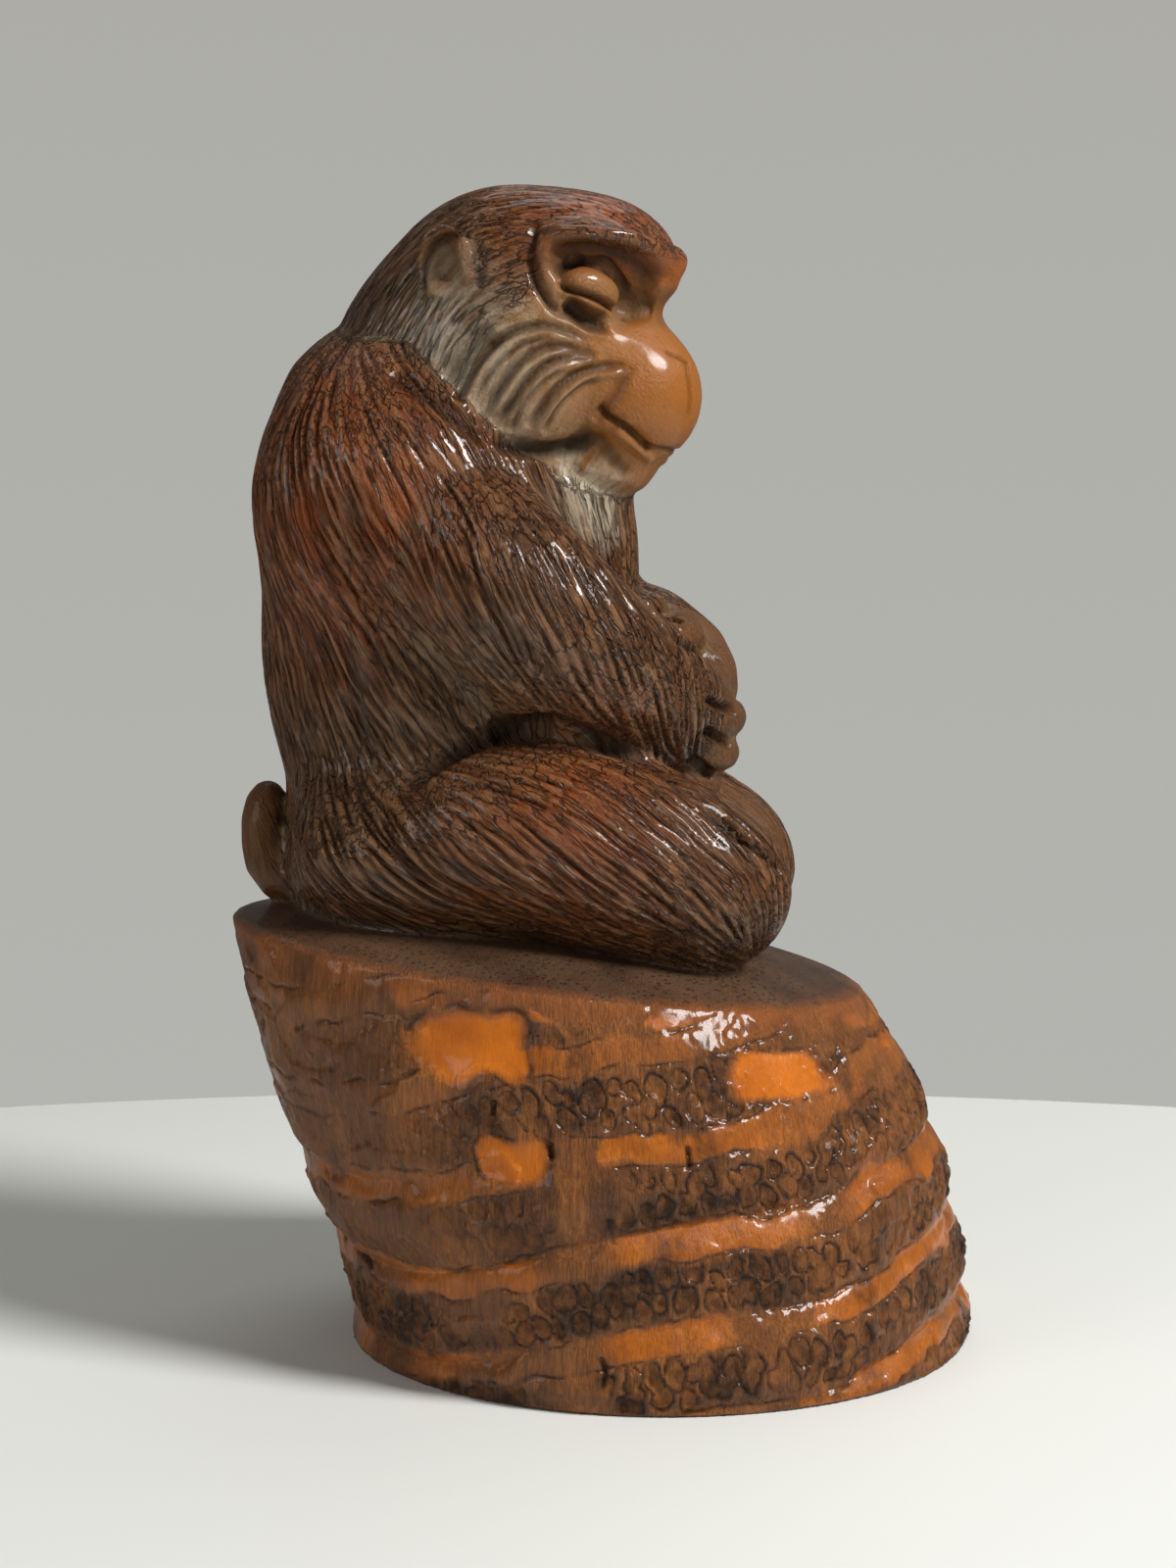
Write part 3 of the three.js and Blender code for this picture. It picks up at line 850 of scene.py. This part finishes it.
band = np.maximum(band * (1 - 0.5 * upper), clip01((sliced - 0.68) * 6) * upper)
band *= 0.7 + 0.3 * patches(root_place * (1, 1, 0.4), 5.0, 61, 0.25, 4)


# %% [markdown]
# ## Bright facets, cracks and splinters
# Three places were sliced flat and polished bright orange. Drying cracks run up the wall with the fibres.

# %% Facets and cracks
def facet(x, y, wide, tall):
    """1 inside an oval patch of the wall that lies round a pixel of the photograph, falling to 0 outside it."""
    middle = seen(x, y)
    off = points - middle
    level = np.hypot(off[:, 0], off[:, 1])
    edge_of = ((level / wide) ** 3 + abs(off[:, 2] / tall) ** 3) ** 0.33 + 0.5 * (rough_at(points, 5.5, 6) - 0.5)
    return clip01((1 - edge_of) * 3.2) * is_wall


FACETS = {"left": (472, 1068, 14, 7.5), "right": (800, 1098, 13, 6), "low": (520, 1185, 8, 5)}
bright = np.maximum(facet(*FACETS["left"]), facet(*FACETS["right"]))
bright = np.maximum(bright, 0.9 * facet(*FACETS["low"]))
dull_share = 1 - bright
crust *= dull_share
lift -= 0.6 * bright
# A ragged ring round each facet is sunk and darkened: torn wood, with a painted shadow line.
torn_edge_and_shade = clip01(1 - abs(bright - 0.3) / 0.3) * patches(root_place, 2.4, 73, 0.4, 4)
lift = np.where(is_wall, lift * dull_share + lift.clip(-0.6, 0) * bright, lift)
band = np.maximum(band, bright)
scar *= dull_share
hollow = np.where(is_wall, np.maximum(hollow * dull_share, 0.85 * torn_edge_and_shade), hollow)
lift -= 0.5 * torn_edge_and_shade
CRACKS = [
    [(614, 1383), (618, 1400), (613, 1420), (616, 1446)],
    [(330, 1186), (338, 1220), (352, 1262), (378, 1290), (384, 1338)],
    [(560, 1165), (563, 1185)], [(622, 1245), (626, 1272)], [(505, 1122), (500, 1140)],
    [(700, 1168), (704, 1196)], [(265, 1040), (262, 1052)]]
# The cracks are darkened with painted shade.
for crack in CRACKS:
    cut_both(crack, 0.8, 1.3, 1.0, True, 0.2, part="seen")
fibre = rough_at(root_place * (1, 1, 0.12), 1.0, 4) - 0.5
lift += is_wall * 0.3 * fibre * dull_share * (1 - 0.5 * band)
chip = clip01(1 - np.linalg.norm(face - (-9, 12, -13), axis=1) / 7)
lift += 0.9 * chip ** 0.5 * (rough_at(points, 1.3, 12) - 0.5) * is_head

# %% [markdown]
# ## Wear and dust
# Rubbed, standing forms are redder and shinier, and hollows hold grey dust. A pale patch on the chest is partly dust
# and partly a painted highlight. How far a point stands out is measured against a much smoother copy of the form.

# %% Standing and sunken forms
broad = settle(points, int(90 * FINER ** 2), np.full(count, 0.8))
stand = ((points - broad) * facing).sum(1)
dust = settle(clip01(-stand / 0.5 + 0.1), 6)
wear = settle(clip01(stand / 0.5), 6)


def zone(place, side, front, up, reach):
    """1 round a place of the figure or the head, falling to 0 at about the reach."""
    gone = np.linalg.norm(place - (side, front, up), axis=1)
    return clip01(1.3 - gone / reach)


def two_zones(place, side, *more):
    return np.maximum(zone(place, -side, *more), zone(place, side, *more))


shoulders = two_zones(figure, 14, -22, 58, 20) * is_body
crown_red = 1.2 * zone(face, 0, 20, 17, 17) * is_head
thighs = 0.6 * two_zones(figure, 20, 5, 20, 16) * is_body
red = clip01(np.maximum.reduce([shoulders, crown_red, thighs]) * (0.4 + rough_at(points, 9.0, 21)))
rim_red = clip01(1 - abs(points[:, 2] - rim + 1.5) / 4) * np.where(is_seat, 0.15, 1.0) * is_root
red = np.maximum(red, rim_red)
flank = two_zones(figure, 20, -6, 37, 13) * is_body
cheeks = two_zones(face, 16, 2, -2, 13) * is_head
dust = clip01(dust + 0.45 * flank + 0.7 * cheeks)
muzzle = zone(face, 0, 24, -3, 14) * is_head * (face[:, 2] < 7)
muzzle = settle(muzzle, 12)
# Pale spots on the chest: dust, and a painted highlight. The cheeks get paler dust.
CHEST_DUST_AND_HIGHLIGHT = {"high": (588, 482, 3.0), "middle": (600, 503, 4.5), "low": (612, 530, 3.5)}
chalk = np.zeros(count)
for x, y, reach in CHEST_DUST_AND_HIGHLIGHT.values():
    spot = seen(x, y)
    if spot is not None:
        chalk = np.maximum(chalk, clip01(1.2 - np.linalg.norm(points - spot, axis=1) / (2 * reach)))

chalk = np.maximum(chalk, 0.5 * clip01(1.3 * cheeks))

# %% [markdown]
# ## The finished mesh
# The cuts are made, and the mesh is thinned where it is flat. It is then divided under the rim, across the lap
# and through the crease of the neck into four closed pieces, so that each stays light.

# %% Push the points and thin the mesh
lift[points[:, 2] < 0.8] = 0
points = points + facing * lift[:, None]
points = np.clip(points, np.array(cad_box[0]) / MM, np.array(cad_box[1]) / MM)
outward(points)
DETAIL = {"hollow": hollow, "ridge": np.maximum(ridge, rubbed_and_highlight), "dust": dust, "wear": wear, "red": red,
          "bare": skin, "muzzle": muzzle, "scar": scar, "band": band, "bright": bright, "wall": is_wall * 1.0,
          "chalk": chalk, "slice": sliced, "tan": tan, "crust": crust}
BUDGET = 506000
worked = placed("worked", blank_mesh)
thin = worked.modifiers.new("thin", "DECIMATE")
thin.ratio = min(1.0, BUDGET / (2 * len(blank_mesh.polygons)))
whole = finished(worked)
print("thinned to", len(whole.polygons), "faces")

# %% Carry the details over
kept = read(whole.vertices, "co", 3).reshape(-1, 3) / MM
point_tree = tree_of(points)
match = np.array([point_tree.find(p)[1] for p in kept])
for name, values in DETAIL.items():
    whole.attributes.new(name, "FLOAT", "POINT").data.foreach_set("value", values[match].astype(np.float32))
hair_values = hair[match].ravel().astype(np.float32)
whole.attributes.new("hair", "FLOAT_VECTOR", "POINT").data.foreach_set("vector", hair_values)
for leftover in [a for a in whole.attributes if a.name[0] != "." and a.name not in (*DETAIL, "hair")]:
    if not leftover.is_required and leftover.name not in ("material_index", "sharp_face"):
        whole.attributes.remove(leftover)
corner = read(whole.loops, "vertex_index", kind=np.int32)
first = read(whole.polygons, "loop_start", kind=np.int32)
root_face = is_root[match][corner[first]]


# %% [markdown]
# ## Materials
# Both finishes are lacquered wood. The fur and face are stained dark, with dirt and painted shade in the cuts, pale
# ridges that are partly rubbed and partly a painted highlight, a pale chest patch of dust and painted highlight, and
# grey dust in the hollows. The root shows orange bands, dark scars and brown fibres. The effects that both use,
# fibre and dust, are node groups.

# %% Helpers for nodes
def tint(r, g, b):
    """A colour as a screen shows it, 0 to 255, as the shader wants it."""
    return tuple(((c / 255 + 0.055) / 1.055) ** 2.4 if c > 10 else c / 3295 for c in (r, g, b)) + (1.0,)


def add(tree, kind, settings=(), **inputs):
    """A node. Its inputs are given by name, or as n0, n1 and so on by number."""
    node = tree.nodes.new("ShaderNode" + kind)
    for name, value in dict(settings).items():
        setattr(node, name, value)
    for name, value in inputs.items():
        numbered = name[0] == "n" and name[1:].isdigit()
        socket = node.inputs[int(name[1:]) if numbered else name.replace("_", " ")]
        if isinstance(value, bpy.types.NodeSocket):
            tree.links.new(value, socket)
        else:
            socket.default_value = value
    return node


def mixed(tree, factor, a, b):
    return add(tree, "Mix", {"data_type": "RGBA", "blend_type": "MIX", "clamp_factor": True},
               n0=factor, n6=a, n7=b).outputs[2]


def maths(tree, how, a, b, clamp=False):
    return add(tree, "Math", {"operation": how, "use_clamp": clamp}, n0=a, n1=b).outputs[0]


def times(tree, a, b):
    return maths(tree, "MULTIPLY", a, b)


def ramp(tree, value, low, high, to_low=0.0, to_high=1.0):
    return add(tree, "MapRange", {"clamp": True}, Value=value, From_Min=low, From_Max=high, To_Min=to_low,
               To_Max=to_high).outputs[0]


def mask(tree, name):
    return add(tree, "Attribute", {"attribute_type": "GEOMETRY", "attribute_name": name}).outputs["Fac"]


def object_place(tree, stretch=(1, 1, 1)):
    coordinates = add(tree, "TexCoord").outputs["Object"]
    return add(tree, "Mapping", {"vector_type": "POINT"}, Vector=coordinates, Scale=stretch).outputs[0]


def noise(tree, place, scale, detail=4.0, roughness=0.6):
    return add(tree, "TexNoise", Vector=place, Scale=scale, Detail=detail, Roughness=roughness).outputs[0]


def clouds(tree, place, scale, *span):
    """Soft patches: plain noise through a ramp."""
    return ramp(tree, noise(tree, place, scale), *span)


def stained(tree, colour, where, share, stain):
    """A colour with a share of another over it, where a mask or a number says."""
    amount = mask(tree, where) if isinstance(where, str) else where
    return mixed(tree, times(tree, amount, share), colour, stain)


def weighed(tree, total, **weights):
    """A number to which each named mask is added by its weight."""
    for name, weight in weights.items():
        total = maths(tree, "ADD", total, times(tree, mask(tree, name), weight))
    return total


def new_group(name, inputs, outputs):
    group = bpy.data.node_groups.new(name, "ShaderNodeTree")
    for label, kind in inputs:
        group.interface.new_socket(label, in_out="INPUT", socket_type=kind)
    for label, kind in outputs:
        group.interface.new_socket(label, in_out="OUTPUT", socket_type=kind)
    return group, group.nodes.new("NodeGroupInput").outputs, group.nodes.new("NodeGroupOutput")


# %% Shared effects
fibres, given, out = new_group(
    "wood_fibres", [("Place", "NodeSocketVector"), ("Size", "NodeSocketFloat")],
    [("Shade", "NodeSocketFloat"), ("Height", "NodeSocketFloat"), ("Cloud", "NodeSocketFloat")])
streak = noise(fibres, given["Place"], given["Size"], 5.0, 0.65)
fleck = add(fibres, "TexVoronoi", {"feature": "F1"}, Vector=given["Place"], Scale=given["Size"]).outputs[0]
fibres.links.new(ramp(fibres, streak, 0.3, 0.7), out.inputs["Shade"])
fibres.links.new(maths(fibres, "ADD", streak, ramp(fibres, fleck, 0.0, 0.5, -0.3, 0.1)), out.inputs["Height"])
fibres.links.new(clouds(fibres, given["Place"], 90.0, 0.35, 0.65), out.inputs["Cloud"])

dusted, given, out = new_group(
    "dust_in_hollows", [("Colour", "NodeSocketColor"), ("Dust", "NodeSocketFloat"), ("Place", "NodeSocketVector"),
                        ("Dust_Colour", "NodeSocketColor")], [("Colour", "NodeSocketColor")])
patchy = clouds(dusted, given["Place"], 320.0, 0.3, 0.75, 0.35, 1.0)
dusted.links.new(stained(dusted, given["Colour"], given["Dust"], patchy, given["Dust_Colour"]), out.inputs["Colour"])


def use(tree, group, **inputs):
    node = tree.nodes.new("ShaderNodeGroup")
    node.node_tree = group
    for name, value in inputs.items():
        if isinstance(value, bpy.types.NodeSocket):
            tree.links.new(value, node.inputs[name])
        else:
            node.inputs[name].default_value = value
    return node.outputs


def new_material(name):
    material = bpy.data.materials.new(name)
    material.use_nodes = True
    tree = material.node_tree
    return material, tree, tree.nodes["Principled BSDF"]


def hair_place(tree, across, along):
    """The fur's own coordinates, stretched along the fur."""
    hair = add(tree, "Attribute", {"attribute_type": "GEOMETRY", "attribute_name": "hair"}).outputs["Vector"]
    return add(tree, "Mapping", {"vector_type": "POINT"}, Vector=hair, Scale=(across, across, along)).outputs[0]


LACQUER = {"Coat Roughness": 0.13, "Specular IOR Level": 0.18, "Coat IOR": 1.5}


def wire(tree, shader, colour, roughness, height, strength, distance, coat):
    bump = add(tree, "Bump", Strength=strength, Distance=distance, Height=height).outputs[0]
    for name, value in {"Base Color": colour, "Roughness": roughness, "Normal": bump, "Coat Weight": coat}.items():
        tree.links.new(value, shader.inputs[name])
    for name, value in LACQUER.items():
        shader.inputs[name].default_value = value


# %% Stained and rubbed carving
carved, tree, shader = new_material("stained_carving")
place = object_place(tree)
grain = use(tree, fibres, Place=place, Size=1100.0)
furry = maths(tree, "SUBTRACT", 1.0, mask(tree, "bare"), True)
waves = maths(tree, "SUBTRACT", noise(tree, hair_place(tree, 620.0, 38.0), 1.0, 2.0, 0.5), 0.5)
strand = ramp(tree, maths(tree, "ABSOLUTE", waves, 0.0), 0.0, 0.06)
hairs = ramp(tree, noise(tree, hair_place(tree, 1900.0, 90.0), 1.0, 3.0, 0.7), 0.35, 0.65)
reddish = clouds(tree, place, 200.0, 0.3, 0.7, 0.4, 1.0)
pale_streaks = clouds(tree, hair_place(tree, 700.0, 90.0), 1.0, 0.35, 0.6)
colour = mixed(tree, grain["Cloud"], tint(94, 52, 21), tint(62, 34, 14))
colour = stained(tree, colour, grain["Shade"], 0.4, tint(44, 24, 12))
colour = stained(tree, colour, times(tree, hairs, 0.5), furry, tint(128, 84, 46))
colour = stained(tree, colour, "red", reddish, tint(150, 68, 8))
colour = stained(tree, colour, "tan", 0.7, tint(148, 104, 58))
colour = stained(tree, colour, "muzzle", 0.9, tint(158, 92, 30))
colour = use(tree, dusted, Colour=colour, Dust=times(tree, mask(tree, "dust"), 0.75), Place=place,
             Dust_Colour=tint(122, 102, 78))["Colour"]
# Crests paler: rubbed wear and a painted highlight.
colour = stained(tree, colour, "ridge", 0.35, tint(156, 112, 72))
# Pale patch: dust, and on the chest a painted highlight.
colour = stained(tree, colour, "chalk", pale_streaks, tint(198, 184, 160))
# Fine strand lines and the dark marks go near black: dirt in the cuts and painted shade in the grooves.
dark_line = times(tree, maths(tree, "SUBTRACT", 1.0, strand), times(tree, furry, 0.75))
tone = times(tree, mask(tree, "hollow"), 0.88)
colour = mixed(tree, maths(tree, "MAXIMUM", dark_line, tone), colour, tint(22, 12, 6))
rub = weighed(tree, 0.36, wear=-0.1, dust=0.2, bare=0.06, muzzle=-0.08)
rub = maths(tree, "ADD", rub, times(tree, grain["Shade"], 0.08))
crest = weighed(tree, 0.28, ridge=0.36, muzzle=0.2)
dull = weighed(tree, 0.0, hollow=0.5, bare=0.14)
coat = maths(tree, "SUBTRACT", crest, dull, True)
fine_lines = times(tree, hairs, maths(tree, "ADD", times(tree, furry, 0.3), 0.1))
relief = maths(tree, "ADD", times(tree, strand, furry), fine_lines)
height = maths(tree, "ADD", relief, times(tree, grain["Height"], 0.35))
wire(tree, shader, colour, rub, height, 1.0, 0.00055, coat)

# %% Lacquered root
rooty, tree, shader = new_material("lacquered_root")
place = object_place(tree, (1, 1, 0.16))
even = object_place(tree)
grain = use(tree, fibres, Place=place, Size=800.0)
thread = ramp(tree, noise(tree, object_place(tree, (1, 1, 0.07)), 2200.0, 3.0, 0.7), 0.42, 0.66)
orange = mixed(tree, clouds(tree, even, 150.0, 0.35, 0.7), tint(200, 112, 26), tint(156, 84, 24))
orange = stained(tree, orange, grain["Shade"], 0.4, tint(112, 54, 20))
orange = stained(tree, orange, thread, 0.35, tint(84, 42, 20))
glow = mixed(tree, clouds(tree, even, 90.0, 0.4, 0.65), tint(220, 118, 16), tint(184, 92, 14))
orange = stained(tree, orange, "bright", 0.75, glow)
scar_colour = mixed(tree, clouds(tree, even, 500.0, 0.3, 0.7), tint(150, 94, 46), tint(78, 48, 29))
crusted = clouds(tree, even, 420.0, 0.35, 0.6, 0.3, 0.9)
wall_colour = mixed(tree, grain["Cloud"], tint(174, 106, 48), tint(120, 74, 37))
wall_colour = stained(tree, wall_colour, "slice", 0.4, tint(82, 50, 29))
wall_colour = stained(tree, wall_colour, grain["Shade"], 0.5, tint(70, 40, 21))
wall_colour = stained(tree, wall_colour, thread, 0.5, tint(52, 30, 17))
wall_colour = stained(tree, wall_colour, "band", 0.92, orange)
wall_colour = stained(tree, wall_colour, "scar", 0.85, scar_colour)
wall_colour = stained(tree, wall_colour, "crust", crusted, tint(44, 28, 18))
dots = add(tree, "TexVoronoi", {"feature": "F1"}, Vector=even, Scale=720.0).outputs[0]
seat_colour = mixed(tree, clouds(tree, even, 60.0, 0.35, 0.65), tint(102, 74, 52), tint(74, 50, 33))
seat_colour = mixed(tree, ramp(tree, dots, 0.16, 0.36, 0.8, 0.0), seat_colour, tint(24, 14, 9))
reddish = clouds(tree, even, 160.0, 0.35, 0.65, 0.2, 0.9)
colour = mixed(tree, mask(tree, "wall"), seat_colour, wall_colour)
colour = stained(tree, colour, "red", reddish, tint(150, 84, 38))
# Dark marks: scar edges and crumbs of bark, and painted shade in the cracks and round the facets.
colour = stained(tree, colour, "hollow", 0.92, tint(26, 16, 11))
rub = weighed(tree, 0.44, band=-0.14, scar=0.14)
coat = maths(tree, "SUBTRACT", 0.32, times(tree, mask(tree, "scar"), 0.24), True)
crumbs = noise(tree, even, 1500.0, 4.0, 0.7)
rougher = weighed(tree, 1.0, band=-0.7)
height = times(tree, maths(tree, "ADD", grain["Height"], times(tree, crumbs, 0.8)), rougher)
height = maths(tree, "SUBTRACT", height, times(tree, thread, times(tree, rougher, 0.5)))
wire(tree, shader, colour, rub, height, 0.9, 0.00036, coat)

# %% Put the finishes on the mesh
whole.materials.clear()
whole.materials.append(carved)
whole.materials.append(rooty)
whole.polygons.foreach_set("material_index", root_face.astype(np.int32))
whole.polygons.foreach_set("use_smooth", np.ones(len(whole.polygons), dtype=bool))
way = read(whole.vertex_normals, "vector", 3)
whole.attributes.new("way", "FLOAT_VECTOR", "POINT").data.foreach_set("vector", way)

# %% [markdown]
# ## Four pieces
# Each piece is cut from the whole with flat planes, and the cut is closed, so every piece is a solid that
# meets its neighbour exactly.

# %% Cut into pieces
tilt = Vector((0, -RIM_SLOPE, 1))
under_rim = Vector((0, SHIFT[1], RIM_HEIGHT - RIM_SLOPE * LEAN / 2 - 3.5))
lap = Vector(from_figure(np.array([0.0, 0.0, 27.0])))
nape = Vector(from_figure(np.array([0.0, -20.0, 79.0])))
neck_way = Vector((0, -23, 30)).normalized()


def piece(name, cuts):
    """A closed part of the whole. A cut is a place, a direction, and whether the part beyond it is dropped."""
    bm = bmesh.new()
    bm.from_mesh(whole)
    for spot, way, drop_beyond in cuts:
        bmesh.ops.bisect_plane(bm, geom=bm.verts[:] + bm.edges[:] + bm.faces[:], dist=1e-7,
                               plane_co=spot * MM, plane_no=way, clear_outer=drop_beyond,
                               clear_inner=not drop_beyond)
        rim_edges = [e for e in bm.edges if e.is_boundary]
        for lid in bmesh.ops.holes_fill(bm, edges=rim_edges, sides=0)["faces"]:
            lid.smooth = False
    bmesh.ops.triangulate(bm, faces=bm.faces[:])
    mesh = bpy.data.meshes.new(name)
    bm.to_mesh(mesh)
    bm.free()
    mesh.materials.append(carved)
    mesh.materials.append(rooty)
    ways = read(mesh.attributes["way"].data, "vector", 3)
    mesh.normals_split_custom_set_from_vertices(ways.reshape(-1, 3))
    mesh.attributes.remove(mesh.attributes["way"])
    thing = placed(name, mesh)
    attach(thing, "root")
    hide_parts("monkey_on_root")
    print(name, len(mesh.polygons), "triangles")


piece("root_stub", [(under_rim, tilt, True)])
piece("crossed_legs", [(under_rim, tilt, False), (lap, UP, True)])
piece("seated_body", [(lap, UP, False), (nape, neck_way, True)])
piece("monkey_head", [(nape, neck_way, False)])
bpy.data.meshes.remove(whole)

# %% [markdown]
# ## Table, wall and light
# The carving stands on a pale round table before a grey wall whose light is painted: it glows by itself, a little
# lighter low down, and only the camera sees it. One large soft light comes from the upper right, a little from the
# camera's side, and a weak one fills from the left.


# %% Stage
def plain_material(name, colour, roughness):
    material, tree, shader = new_material(name)
    mottle = clouds(tree, object_place(tree), 3.0, 0.3, 0.7)
    shade = mixed(tree, mottle, colour, tuple(c * 0.985 for c in colour[:3]) + (1.0,))
    tree.links.new(shade, shader.inputs["Base Color"])
    shader.inputs["Roughness"].default_value = roughness
    return material


def stage_piece(name, build, material):
    mesh = bpy.data.meshes.new(name)
    bm = bmesh.new()
    build(bm)
    bm.to_mesh(mesh)
    bm.free()
    mesh.materials.append(material)
    thing = placed(name, mesh)
    return thing


TABLE_RADIUS, TABLE_EDGE = 0.62, 0.228
table_middle = back_way * (TABLE_RADIUS - TABLE_EDGE)


def build_table(bm):
    bmesh.ops.create_circle(bm, cap_ends=True, segments=160, radius=TABLE_RADIUS)
    bmesh.ops.translate(bm, verts=bm.verts, vec=table_middle)


def build_wall(bm):
    bmesh.ops.create_cone(bm, cap_ends=False, segments=96, radius1=2.2, radius2=2.2, depth=4.0)


stage_piece("table", build_table, plain_material("white_table", tint(240, 241, 235), 0.5))
backdrop = stage_piece("backdrop", build_wall, None)
glowing_wall_material = bpy.data.materials.new("grey_wall")
glowing_wall_material.use_nodes = True
wall_tree = glowing_wall_material.node_tree
wall_tree.nodes.clear()
# Painted light: the wall glows grey, a little lighter low down.
height_of = add(wall_tree, "SeparateXYZ", Vector=add(wall_tree, "TexCoord").outputs["Object"]).outputs[2]
painted_wall_light = mixed(wall_tree, ramp(wall_tree, height_of, -0.6, 0.9), tint(181, 182, 177), tint(172, 171, 167))
glow = add(wall_tree, "Emission", Color=painted_wall_light, Strength=1.0)
wall_tree.links.new(glow.outputs[0], add(wall_tree, "OutputMaterial").inputs[0])
backdrop.data.materials[0] = glowing_wall_material
backdrop.visible_diffuse = False
backdrop.visible_glossy = False
backdrop.visible_shadow = False


# %% Lights
LIGHTS = {  # metres to the right, towards the camera and up, then width and power
    "key": (0.8, 0.45, 0.95, 0.4, 18),
    "fill": (-0.9, 0.7, 0.5, 0.6, 2.5),
    "top": (0.1, -0.5, 1.1, 0.7, 1.6),
}
LIT_HEIGHT = 0.12
for name, (right, back, up, size, power) in LIGHTS.items():
    light = bpy.data.lights.new(name, "AREA")
    light.shape = "DISK"
    light.size = size
    light.energy = power
    lamp = placed(name, light)
    lamp.location = right_way * right + back_way * back + UP * up
    lamp.rotation_euler = (UP * LIT_HEIGHT - lamp.location).to_track_quat("-Z", "Y").to_euler()
world = bpy.context.scene.world or bpy.data.worlds.new("room")
bpy.context.scene.world = world
world.use_nodes = True
world.node_tree.nodes["Background"].inputs["Color"].default_value = tint(190, 190, 186)
world.node_tree.nodes["Background"].inputs["Strength"].default_value = 0.26
bpy.context.scene.view_settings.view_transform = "Standard"
